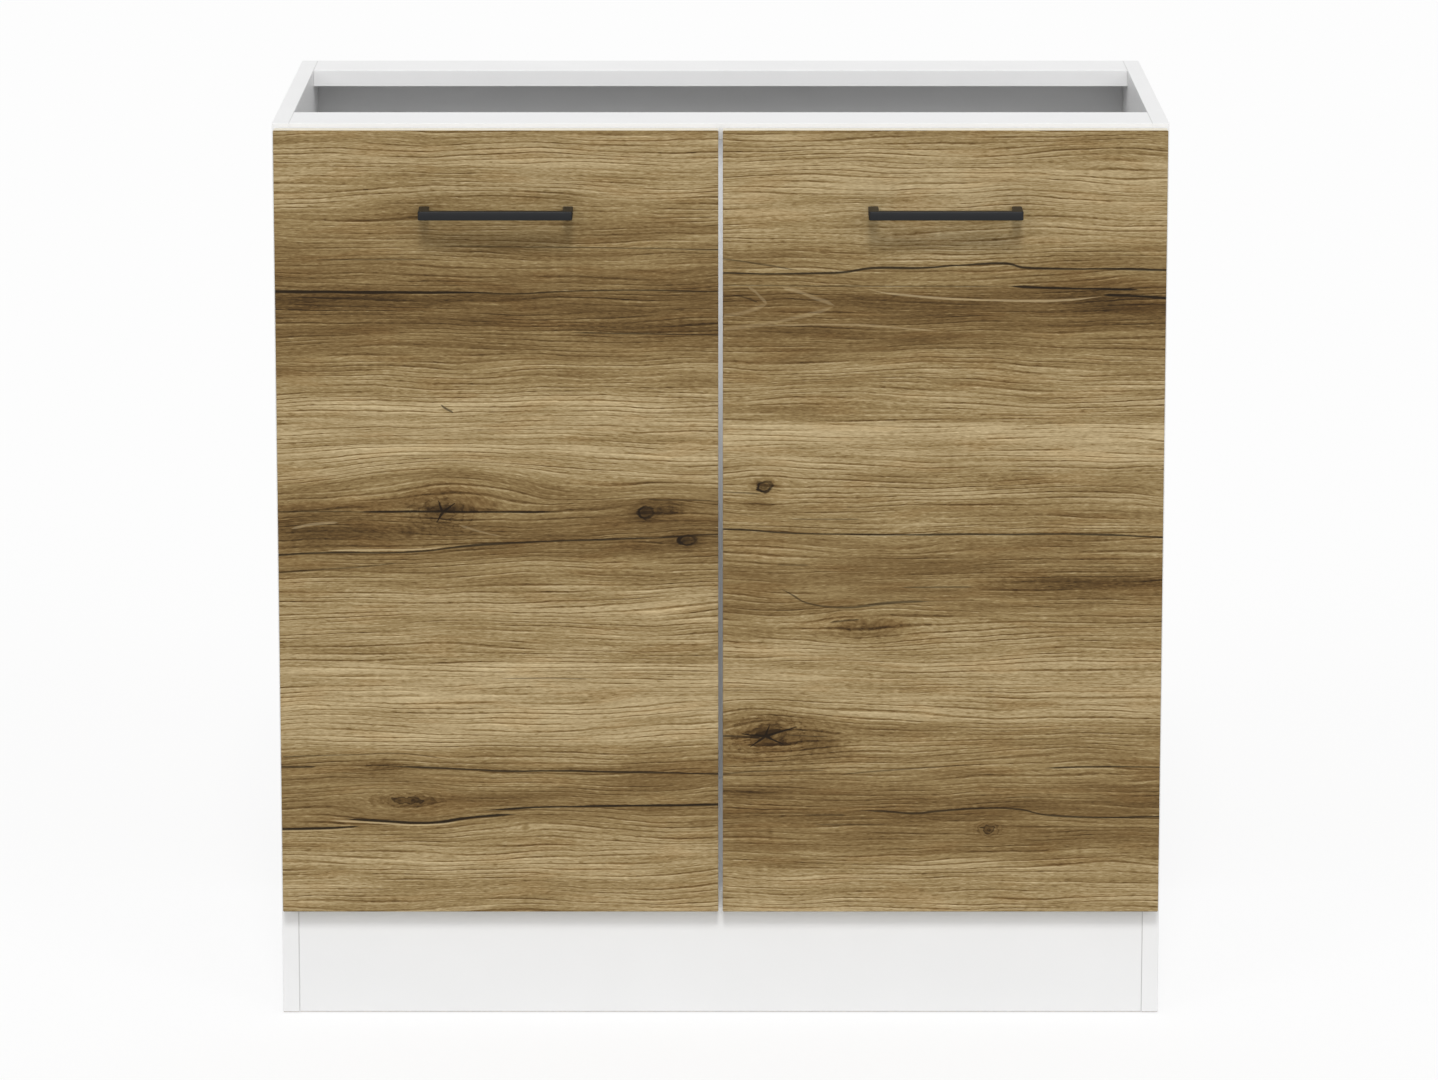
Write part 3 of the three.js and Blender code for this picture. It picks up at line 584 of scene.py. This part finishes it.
def knotMarks(look, x, z, wander, knot):
    # what a knot takes off the shade, and its dark lines
    across = x - knot["x"]
    upright = z - knot["z"]
    wide, tall = knot["half"]
    reach = ((across / wide) ** 2 + (upright / tall) ** 2).root() + wander
    kind = knotKinds[knot["kind"]]
    shade = sum(look.fade(reach, start, full) * strength for start, full, strength in kind["discs"])
    if "rings" in kind:
        closeness, lowWave, highWave, start, full, strength = kind["rings"]
        rings = look.fade((reach * closeness).sine(), lowWave, highWave) * look.fade(reach, start, full)
        shade = shade + rings * strength
    lines = []
    for arm in knot.get("arms", ()):
        lines.append(armMark(look, across + wander * 2, upright + wander * 1.5, arm))
    if knot["kind"] == "ring":
        ring = brokenRing
        toLeft, toBelow = ring["slant"]
        drawn = across * (toLeft / wide) + upright * (toBelow / tall)
        drawn = (drawn + wander * ring["unsteady"] + ring["drawn"]).clamped()
        lines.append(look.fade(abs(reach - ring["lies"]), *ring["line"]) * (drawn * 0.5 + 0.5))
        lines.append(look.fade(reach, *ring["fill"]) * (drawn - ring["fillFrom"]) * ring["fillShare"])
    if "outline" in kind:
        place, start, full, strength = kind["outline"]
        lines.append(look.fade(abs(reach - place), start, full) * strength)
    return shade, lines


def heightShare(door, z):
    # 0 at the door's lower edge and 1 at its upper one
    low, high = spanOf(door["node"])
    return (z - low.z) / (high.z - low.z)


def grainFlow(look, x, z, door):
    # height of a place before the grain leant, waved and swelled round the knots
    seed = door["seed"]
    span, run = 4, 40  # the ramp holds rises from -2 to 2, each over a run of 40
    lean = [(heightShare(door, level), 0.5 + rise / span) for level, rise in door["lean"]]
    tilt = (look.scale(heightShare(door, z), lean) - 0.5) * span
    line = z - tilt * (x - door["middle"]) / run
    for knot in door["knots"]:
        across = (x - knot["x"]) / knot["reach"][0]
        upright = (z - knot["z"]) / knot["reach"][1]
        swell = math.e ** ((across * across + upright * upright) * -1)
        below = knot.get("below", 1)
        share = (upright > 0) * (1 - below) + below
        line = line - upright * swell * share * knot["push"]
    length, height, lift = oak["wave"]
    wave = look.noise(x / length + seed, z / height, detail=1.0) * lift
    length, height, lift = oak["ripple"]
    ripple = look.noise(x / length + seed, z / height, detail=1.0)
    bends = look.fade(abs(z - door["plank"]), *oak["calm"])
    return z + (line - z + wave + ripple * lift) * bends, ripple


def decorShade(look, x, z, line, door):
    # shade of the decor without its knots and cracks, and the layers that its relief needs
    along = x + (z > door["plank"]) * oak["boardShift"]
    tones = [(heightShare(door, level), shade) for level, shade in door["tones"]]
    tone = look.scale(heightShare(door, line), tones)
    dark = look.fade(tone, *oak["dark"])
    layers = {}
    for name, (length, width, shift, detail, rough) in oak["layers"].items():
        place = (along / length + door["seed"], line / width + shift)
        layers[name] = look.noise(*place, detail=detail, rough=rough)
    broad, fibre, held = layers["broad"], layers["fibre"], layers["held"]
    phase = (line / oak["growth"] + layers["drift"] * 3.0 + layers["streak"] * 0.2) * math.tau
    firm = (held * 2.8 + broad * 3.0 + fibre * 0.5 + 0.60).clamped()
    growth = look.fade(phase.sine(), *oak["growthFade"]) * firm
    firm = (held * 2.0 + fibre * 1.2 + 0.5).clamped()
    ledge = look.fade((phase + oak["ledgeAfter"]).sine(), *oak["ledgeFade"]) * firm
    dashes = look.fade(layers["pores"] + growth * oak["cling"], *oak["dashFade"])
    gleams = look.fade(layers["glints"] + ledge * oak["cling"], *oak["gleamFade"])
    layers.update(growth=growth, ledge=ledge, dashes=dashes, gleams=gleams)
    shade = tone + oak["lighter"]
    for name, (pale, less) in oak["weights"].items():
        shade = shade + layers[name] * (pale - dark * less if less else pale)
    return shade, layers


def oakMaterial(name, door):
    look = Look(name)
    low, high = spanOf(door["node"])
    seed = door["seed"]
    places = look.places()
    x, y, z = places
    nx, ny, nz = look.facing()
    line, ripple = grainFlow(look, x, z, door)
    shade, layers = decorShade(look, x, z, line, door)
    hair = layers["hair"]

    wide, tall = oak["crackPatch"]
    strength = (look.noise(x / wide + seed, z / tall, detail=1.0) * 1.8 + 1.05).most(0.6)
    settled = z + ripple + hair * 0.5
    cracks = []
    # marks of the painted highlight on cracks' lower lips, and of the pale curls in the grain
    curlsAndLipHighlights = []
    for half, ink, *path in door["cracks"]:
        mark = crackMark(look, x, settled, strength, half, ink, path)
        (cracks if ink > 0 else curlsAndLipHighlights).append(mark)
    wide, tall = oak["knotPatch"]
    wander = ripple * 0.5 + hair * 0.3 + look.noise(x / wide + seed, z / tall, detail=1.0) * 0.55
    for knot in door["knots"]:
        taken, lines = knotMarks(look, x, z, wander, knot)
        shade = shade - taken
        cracks += lines
    crack = strongest(cracks)

    colours = [(place, tint(*colour)) for place, colour in oak["colours"]]
    decor = look.add("ShaderNodeValToRGB", {"stops": colours}, {0: shade})
    wide, tall = oak["rosyPatch"]
    rosy = look.fade(look.noise(x / wide + seed, line / tall, detail=1.0), *oak["rosyFade"])
    decor = look.blend(rosy * oak["rosyShare"], decor, tint(*oak["rosy"]), "SOFT_LIGHT")
    # lays the painted lip highlights and the pale grain curls over the decor
    decor = look.blend(strongest(curlsAndLipHighlights) * oak["curlAndLipHighlightShare"], decor, tint(*oak["curlAndLipHighlight"]))
    decor = look.blend(crack * oak["crackShare"], decor, tint(*oak["crack"]))

    inner, innerRough, pearl = melamine(look, places)
    raw, pick = chipboard(look, places)
    band = look.blend(look.even(places, 3, detail=1.0) + 0.5, *tints(oak["band"]))
    halfWide = (high.x - low.x) / 2 - oak["bandDepth"]
    halfTall = (high.z - low.z) / 2 - oak["bandDepth"]
    rim = (abs(x - door["middle"]) > halfWide).most(abs(z - (low.z + high.z) / 2) > halfTall)
    front = ny < -square
    rear = (ny > square) * (y > high.y - white["edge"])
    colour = look.blend(rim, raw, band)
    colour = look.blend(rear, colour, inner)
    colour = look.blend(front, colour, decor)
    fibre, growth, dashes = layers["fibre"], layers["growth"], layers["dashes"]
    relief = fibre * 0.7 + hair * 0.5 - growth * 0.35 - dashes * 0.4 - crack
    dull = fibre * 0.14 + growth * 0.06 + dashes * 0.08 + oak["rough"]
    return look.surface(
        Base_Color=colour,
        Roughness=(dull * front + (1 - front) * innerRough).clamped(),
        Normal=look.bump(relief * front + pearl * 0.3, oak["relief"]),
        Specular_IOR_Level=oak["gloss"],
    )


# Thin back board: white inside, brown fibreboard outside.
back = {
    "inside": ((238, 238, 238), (232, 232, 232)),
    "fibres": ((124, 92, 60), (166, 130, 92)),
    "cloud": 120,
    "strand": (5, 1.4),
    "turn": (-0.6, -0.4),  # facing from which the brown side begins, and is whole
    "sheetLine": 1.6,  # pitch of the press sheet's print
    "rough": 0.5,
    "gloss": 0.3,
    "relief": 0.10,
}


def backMaterial():
    look = Look("backFibreboard")
    x, y, z = look.places()
    nx, ny, nz = look.facing()
    outside = look.fade(ny, *back["turn"])
    cloud = look.noise(x / back["cloud"], z / back["cloud"], detail=3.0)
    strands = look.noise(x / back["strand"][0], z / back["strand"][1], detail=3.0, rough=0.7)
    turns = math.pi / back["sheetLine"]
    weave = (x * turns).sine() * (z * turns).sine()
    share = (cloud * 0.35 + strands * 1.3 + weave * 0.08 + 0.5).clamped()
    brown = look.blend(share, *tints(back["fibres"]))
    inside = look.blend((cloud + 0.5).clamped(), *tints(back["inside"]))
    return look.surface(
        Base_Color=look.blend(outside, inside, brown),
        Roughness=(outside * 0.28 + strands * 0.1 + back["rough"]).clamped(),
        Normal=look.bump((weave * 0.5 + strands) * outside + cloud * 0.2, back["relief"]),
        Specular_IOR_Level=back["gloss"],
    )


# Matte powder coat on the handles.
coat = {
    "colours": ((0.0050, 0.0056, 0.0068, 1), (0.0080, 0.0087, 0.0104, 1)),
    "grain": 1 / 2.6,
    "cloud": 14,
    "rough": 0.44,
    "gloss": 0.3,
    "relief": 0.05,
}


def coatMaterial():
    look = Look("blackPowderCoat")
    places = look.places()
    grain = look.even(places, coat["grain"])
    cloud = look.even(places, coat["cloud"])
    return look.surface(
        Base_Color=look.blend((cloud + 0.5).clamped(), *coat["colours"]),
        Roughness=(grain * 0.14 + cloud * 0.06 + coat["rough"]).clamped(),
        Normal=look.bump(grain, coat["relief"]),
        Specular_IOR_Level=coat["gloss"],
    )


# Plated steel: cells of rubbing in a millimetre of each axis, and blotches in the plating.
plating = {
    "nickel": {"colours": ((0.70, 0.68, 0.63, 1), (0.78, 0.765, 0.72, 1)), "rough": 0.24,
               "rub": (0.5, 0.5, 3.2), "blotch": 1.2},
    "zinc": {"colours": ((0.58, 0.60, 0.63, 1), (0.70, 0.715, 0.73, 1)), "rough": 0.34,
             "rub": (1.5, 1.5, 1.5), "blotch": 1.8},
}


def metalMaterial(kind):
    plate = plating[kind]
    look = Look(kind + "Plate")
    places = look.places()
    rubbed = look.noise(*[place * cells for place, cells in zip(places, plate["rub"])])
    cloud = look.even(places, 6, detail=3.0)
    return look.surface(
        Base_Color=look.blend((cloud * plate["blotch"] + 0.5).clamped(), *plate["colours"]),
        Metallic=1.0,
        Roughness=(rubbed * 0.16 + cloud * 0.12 + plate["rough"]).clamped(),
        Normal=look.bump(rubbed, 0.008),
    )


# Moulded plastic of the floor glides and of the caps on the joining screws.
plastic = {
    "darkGlide": {"colours": ((0.035, 0.035, 0.038, 1), (0.055, 0.055, 0.06, 1)), "rough": 0.55},
    "whiteCap": {"colours": tints(((238, 238, 237), (230, 230, 229))), "rough": 0.4},
}


def plasticMaterial(name):
    look = Look(name)
    grain = look.even(look.places(), 1 / 1.8)
    return look.surface(
        Base_Color=look.blend((grain + 0.5).clamped(), *plastic[name]["colours"]),
        Roughness=(grain * 0.12 + plastic[name]["rough"]).clamped(),
        Normal=look.bump(grain, 0.03),
    )


rubber = {"colours": ((0.86, 0.88, 0.87, 1), (0.92, 0.93, 0.92, 1)), "rough": 0.22, "clearness": 0.85}


def rubberMaterial():
    look = Look("clearSoftBuffer")
    cloud = look.even(look.places(), 1 / 0.8)
    return look.surface(
        Base_Color=look.blend((cloud + 0.5).clamped(), *rubber["colours"]),
        Roughness=(cloud * 0.2 + rubber["rough"]).clamped(),
        Normal=look.bump(cloud, 0.03),
        IOR=1.48,
        Transmission_Weight=rubber["clearness"],
    )


looks = {
    "white_board": whiteMaterial(),
    "back_board": backMaterial(),
    "black_metal": coatMaterial(),
    "nickel_steel": metalMaterial("nickel"),
    "zinc_steel": metalMaterial("zinc"),
    "dark_plastic": plasticMaterial("darkGlide"),
    "clear_rubber": rubberMaterial(),
}
capLook = plasticMaterial("whiteCap")
doorLooks = {}
for side, door in (("left", leftOak), ("right", rightOak)):
    door["node"] = "door_" + side
    door["middle"] = sum(corner.x for corner in spanOf(door["node"])) / 2
    doorLooks[side] = oakMaterial("oak" + side.capitalize(), door)


def slotOf(node):
    return node.data.materials[0].name.split(".")[0]


slots = {name: slotOf(node) for name, node in nodes.items()}
for name, node in nodes.items():
    if slots[name] == "oak_board":
        node.data.materials[0] = doorLooks[name.split("_")[-1]]
    else:
        node.data.materials[0] = looks[slots[name]]
print("looks done:", len(nodes), "nodes finished")

# Pressed and turned metal, shown with its edges rounded and its curves smooth.
polish = {
    # how wide the rounding of an edge is in each finish
    "edges": {
        "black_metal": 0.35,
        "nickel_steel": 0.16,
        "zinc_steel": 0.14,
        "dark_plastic": 0.3,
        "clear_rubber": 0.2,
    },
    "gap": 0.002,  # corners closer than this are one
    "flat": 1.2,  # degrees between faces that are really one face
    "corner": 33.0,  # degrees from which an edge is rounded
    "weld": 0.001,  # corners closer than this after rounding are one
}


def joinedShape(mesh):
    # the mesh with its doubled corners made one
    shape = bmesh.new()
    shape.from_mesh(mesh)
    bmesh.ops.remove_doubles(shape, verts=shape.verts, dist=polish["gap"] * mm)
    return shape


def addPiece(name, mesh, body, material):
    piece = bpy.data.objects.new(name, mesh)
    mesh.materials.clear()
    mesh.materials.append(material)
    bpy.context.scene.collection.objects.link(piece)
    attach(piece, body)
    return piece


def polishNode(name):
    shape = joinedShape(nodes[name].data)
    bmesh.ops.dissolve_limit(
        shape, angle_limit=math.radians(polish["flat"]), verts=shape.verts, edges=shape.edges)
    mesh = bpy.data.meshes.new(name + "_polished")
    shape.to_mesh(mesh)
    shape.free()
    mesh.shade_smooth()
    piece = addPiece(name + "_polished", mesh, bodyOf[name], looks[slots[name]])
    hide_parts(name)
    soft = piece.modifiers.new("edges", "BEVEL")
    soft.width = polish["edges"][slots[name]] * mm
    soft.segments = 2
    soft.limit_method = "ANGLE"
    soft.angle_limit = math.radians(polish["corner"])
    soft.harden_normals = True
    joined = piece.modifiers.new("joined", "WELD")
    joined.merge_threshold = polish["weld"] * mm


for name in nodes:
    if slots[name] in polish["edges"]:
        polishNode(name)
print("metal edges rounded")

# Small fasteners, one object for each kind on each body. The screws' heads have a cross recess.
fasteners = {
    "flangeScrew": {"radius": 3.7, "height": 1.3, "fromDoorEdge": 31.0, "spacing": 45.0},
    "plateScrew": {"radius": 3.75, "height": 1.8, "setback": 37.0, "plate": 2.4, "spacing": 32.0},
    # outline of a pan head, in shares of its radius and height
    "pan": ((0, 0), (1, 0), (1, 0.35), (0.93, 0.66), (0.72, 0.9), (0.35, 1), (0, 1)),
    # shares of a head's size, and how far its cutter stands out of it
    "cross": {"reach": 0.62, "half": 0.13, "depth": 0.6, "taper": 0.6, "over": 0.2},
    "cap": {"radius": 5.1, "height": 0.7, "crown": 0.22, "sink": 0.05},
    "nail": {"radius": 2.2, "height": 0.35, "sink": 0.1},
    "dimple": {"radius": 2.7, "depth": 0.55, "over": 0.3},
    "nailing": {"inset": 6.5, "across": 7, "up": 5},
    "steps": 32,
}


def meshFrom(shape):
    bmesh.ops.recalc_face_normals(shape, faces=shape.faces)
    mesh = bpy.data.meshes.new("piece")
    shape.to_mesh(mesh)
    shape.free()
    return mesh


def turned(profile):
    # a closed round solid about z, from (radius, height) points that start and end on the axis
    steps = fasteners["steps"]
    shape = bmesh.new()
    rings = []
    for radius, height in profile:
        turns = [math.tau * step / steps for step in range(steps if radius else 1)]
        out, up = radius * mm, height * mm
        rings.append([shape.verts.new((out * math.cos(turn), out * math.sin(turn), up)) for turn in turns])
    for lower, upper in zip(rings, rings[1:]):
        for step in range(steps):
            following = (step + 1) % steps
            corners = [lower[step % len(lower)], lower[following % len(lower)]]
            corners += [upper[following % len(upper)], upper[step % len(upper)]]
            shape.faces.new(list(dict.fromkeys(corners)))
    return meshFrom(shape)


def gathered(mesh, places):
    # copies of a mesh at several places, as one mesh of separate solids
    shape = bmesh.new()
    for place in places:
        single = mesh.copy()
        single.transform(place)
        shape.from_mesh(single)
        bpy.data.meshes.remove(single)
    return meshFrom(shape)


def carved(mesh, cutter):
    solid = bpy.data.objects.new("solid", mesh)
    tool = bpy.data.objects.new("tool", cutter)
    for item in (solid, tool):
        bpy.context.scene.collection.objects.link(item)
    cut = solid.modifiers.new("cut", "BOOLEAN")
    cut.object = tool
    cut.operation = "DIFFERENCE"
    cut.solver = "EXACT"
    graph = bpy.context.evaluated_depsgraph_get()
    result = bpy.data.meshes.new_from_object(solid.evaluated_get(graph))
    for item in (solid, tool):
        bpy.data.objects.remove(item)
    return result


def facingTo(x, y, z, direction):
    # a place in millimetres, with the piece's own z turned to a direction
    turn = Vector((0, 0, 1)).rotation_difference(Vector(direction)).to_matrix().to_4x4()
    return Matrix.Translation(Vector((x, y, z)) * mm) @ turn


def crossHead(screw):
    # a pan head with a cross recess that narrows with depth
    radius, height = screw["radius"], screw["height"]
    cross = fasteners["cross"]
    head = turned([(radius * out, height * up) for out, up in fasteners["pan"]])
    reach, half = radius * cross["reach"], radius * cross["half"]
    quarter = [(reach, -half), (reach, half), (half, half)]
    outline = []
    for turn in range(4):
        outline += quarter
        quarter = [(-y, x) for x, y in quarter]
    shape = bmesh.new()
    rings = []
    for size, level in ((cross["taper"], height * (1 - cross["depth"])), (1.0, height + cross["over"])):
        rings.append([shape.verts.new((x * size * mm, y * size * mm, level * mm)) for x, y in outline])
    shape.faces.new(rings[0])
    shape.faces.new(rings[1])
    for index in range(len(outline)):
        before = index - 1
        shape.faces.new((rings[0][before], rings[0][index], rings[1][index], rings[1][before]))
    return carved(head, meshFrom(shape))


def makeHingeScrews():
    flange, plate = fasteners["flangeScrew"], fasteners["plateScrew"]
    flangeHead = crossHead(flange)
    plateHead = crossHead(plate)
    metal = looks["nickel_steel"]
    plateBack = spanOf("side_panel_left")[0].y + plate["setback"]
    innerFace = spanOf("side_panel_right")[0].x
    plateSeats = []
    for side, way in sides.items():
        doorEdge = max(abs(corner.x) for corner in spanOf("door_" + side))
        across = way * (doorEdge - flange["fromDoorEdge"])
        plateFace = way * (innerFace - plate["plate"])
        seats = []
        for level in levels:
            low, high = spanOf("hinge_cup_" + level + "_" + side)
            middle = (low.z + high.z) / 2
            for end in (-0.5, 0.5):
                seats.append(facingTo(across, high.y, middle + end * flange["spacing"], (0, 1, 0)))
                upright = middle + end * plate["spacing"]
                plateSeats.append(facingTo(plateFace, plateBack, upright, (-way, 0, 0)))
        screws = gathered(flangeHead, seats)
        addPiece("flange_screws_" + side, screws, "door_" + side, metal)
    addPiece("plate_screws", gathered(plateHead, plateSeats), "carcass", metal)


def makeCaps():
    cap = fasteners["cap"]
    radius, height, crown = cap["radius"], cap["height"], cap["crown"]
    rounded = [(radius, height - crown), (radius * 0.8, height - crown * 0.3)]
    disc = turned([(0, 0), (radius, 0), *rounded, (0, height)])
    outerFace = spanOf("side_panel_right")[1].x
    places = []
    for name in nodes:
        if name.startswith("joining_screw"):
            way = sides[name.split("_")[-1]]
            low, high = spanOf(name)
            face = way * (outerFace - height - cap["sink"])
            places.append(facingTo(face, (low.y + high.y) / 2, (low.z + high.z) / 2, (way, 0, 0)))
    addPiece("joining_screw_caps", gathered(disc, places), "carcass", capLook)


def nailSpots():
    # x and z of each nail: two rows into the boards, and two columns into the sides
    nailing = fasteners["nailing"]
    low, high = spanOf("back_panel")
    left, right = low.x + nailing["inset"], high.x - nailing["inset"]
    bottom = sum(corner.z for corner in spanOf("bottom_panel")) / 2
    top = sum(corner.z for corner in spanOf("top_rail_rear")) / 2
    spots = []
    for step in range(nailing["across"]):
        across = left + (right - left) * step / (nailing["across"] - 1)
        spots += [(across, bottom), (across, top)]
    for step in range(1, nailing["up"]):
        upright = bottom + (top - bottom) * step / nailing["up"]
        spots += [(left, upright), (right, upright)]
    return spots


def makeNailedBack():
    nail = fasteners["nail"]
    rear = spanOf("back_panel")[1].y
    radius, height = nail["radius"], nail["height"]
    wide, depth = fasteners["dimple"]["radius"], fasteners["dimple"]["depth"]
    over = depth + fasteners["dimple"]["over"]
    dimple = turned([(0, 0), (wide - depth, 0), (wide, depth), (wide, over), (0, over)])
    head = turned([(0, 0), (radius, 0), (radius, height * 0.6), (radius * 0.8, height), (0, height)])
    spots = nailSpots()
    dimples = gathered(dimple, [facingTo(x, rear - depth, z, (0, 1, 0)) for x, z in spots])
    dented = carved(meshFrom(joinedShape(nodes["back_panel"].data)), dimples)
    board = addPiece("back_panel_nailed", dented, "carcass", looks["back_board"])
    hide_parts("back_panel")
    seat = rear - nail["sink"] - height
    heads = gathered(head, [facingTo(x, seat, z, (0, 1, 0)) for x, z in spots])
    addPiece("back_nails", heads, "carcass", looks["zinc_steel"])


makeHingeScrews()
makeCaps()
makeNailedBack()
print("small fasteners set")

room = {
    "floorHalf": 14.0,
    "floorWhite": 0.98,
    "floorBounce": 0.62,  # how pale the floor is for everything but the camera
    "shadowShare": 0.25,  # how much of the object's shadow the white floor shows
    "ambient": 0.60,
    # power, softness, elevation and turn to the side, the last three in degrees
    "lamps": {
        "high": (1.20, 14, 45, 0),
        "lowLeft": (0.30, 22, 25, -38),
        "lowRight": (0.30, 22, 25, 38),
    },
}


def straightRays(look):
    # 1 for what is seen directly, in a reflection or through something clear
    rays = look.add("ShaderNodeLightPath").socket.node.outputs
    ways = ("Is Camera Ray", "Is Glossy Ray", "Is Transmission Ray")
    return strongest([Wire(look, rays[way]) for way in ways])


def makeFloor():
    look = Look("paleFloor")
    seen = straightRays(look)
    bright = look.add("ShaderNodeEmission", values={"Color": grey(1), "Strength": 1.0})
    plain = look.add("ShaderNodeBsdfDiffuse", values={"Color": grey(room["floorWhite"])})
    bounce = look.add("ShaderNodeBsdfDiffuse", values={"Color": grey(room["floorBounce"])})
    shown = look.add("ShaderNodeMixShader", values={0: room["shadowShare"], 1: bright, 2: plain})
    look.show(look.add("ShaderNodeMixShader", values={0: seen, 1: bounce, 2: shown}))
    half = room["floorHalf"]
    mesh = bpy.data.meshes.new("floor")
    corners = [(-half, -half, 0), (half, -half, 0), (half, half, 0), (-half, half, 0)]
    mesh.from_pydata(corners, [], [(0, 1, 2, 3)])
    mesh.materials.append(look.holder)
    floor = bpy.data.objects.new("floor", mesh)
    bpy.context.scene.collection.objects.link(floor)


def makeWorld():
    look = Look("softRoom", world=True)
    seen = straightRays(look)
    soft = look.add("ShaderNodeBackground", values={"Color": grey(1), "Strength": room["ambient"]})
    plain = look.add("ShaderNodeBackground", values={"Color": grey(1), "Strength": 1.0})
    mixed = look.add("ShaderNodeMixShader", values={0: seen, 1: soft, 2: plain})
    bpy.context.scene.world = look.show(mixed)


def makeLamps():
    for name, (power, softness, elevation, turn) in room["lamps"].items():
        light = bpy.data.lights.new(name, "SUN")
        light.energy = power
        light.angle = math.radians(softness)
        lamp = bpy.data.objects.new(name, light)
        lamp.rotation_euler = (math.radians(90 - elevation), 0, math.radians(turn))
        bpy.context.scene.collection.objects.link(lamp)


view = {"place": (-0.0014, -6.0863, 1.620), "pitch": 11.32, "lens": 166.6, "sensor": 36, "farthest": 60}


def makeCamera():
    data = bpy.data.cameras.new("camera")
    data.lens = view["lens"]
    data.sensor_width = view["sensor"]
    data.clip_end = view["farthest"]
    camera = bpy.data.objects.new("camera", data)
    camera.location = view["place"]
    camera.rotation_euler = (math.radians(90 - view["pitch"]), 0, 0)
    bpy.context.scene.collection.objects.link(camera)
    bpy.context.scene.camera = camera


makeFloor()
makeWorld()
makeLamps()
makeCamera()
bpy.context.scene.view_settings.view_transform = "Standard"
print("floor, light and camera set")
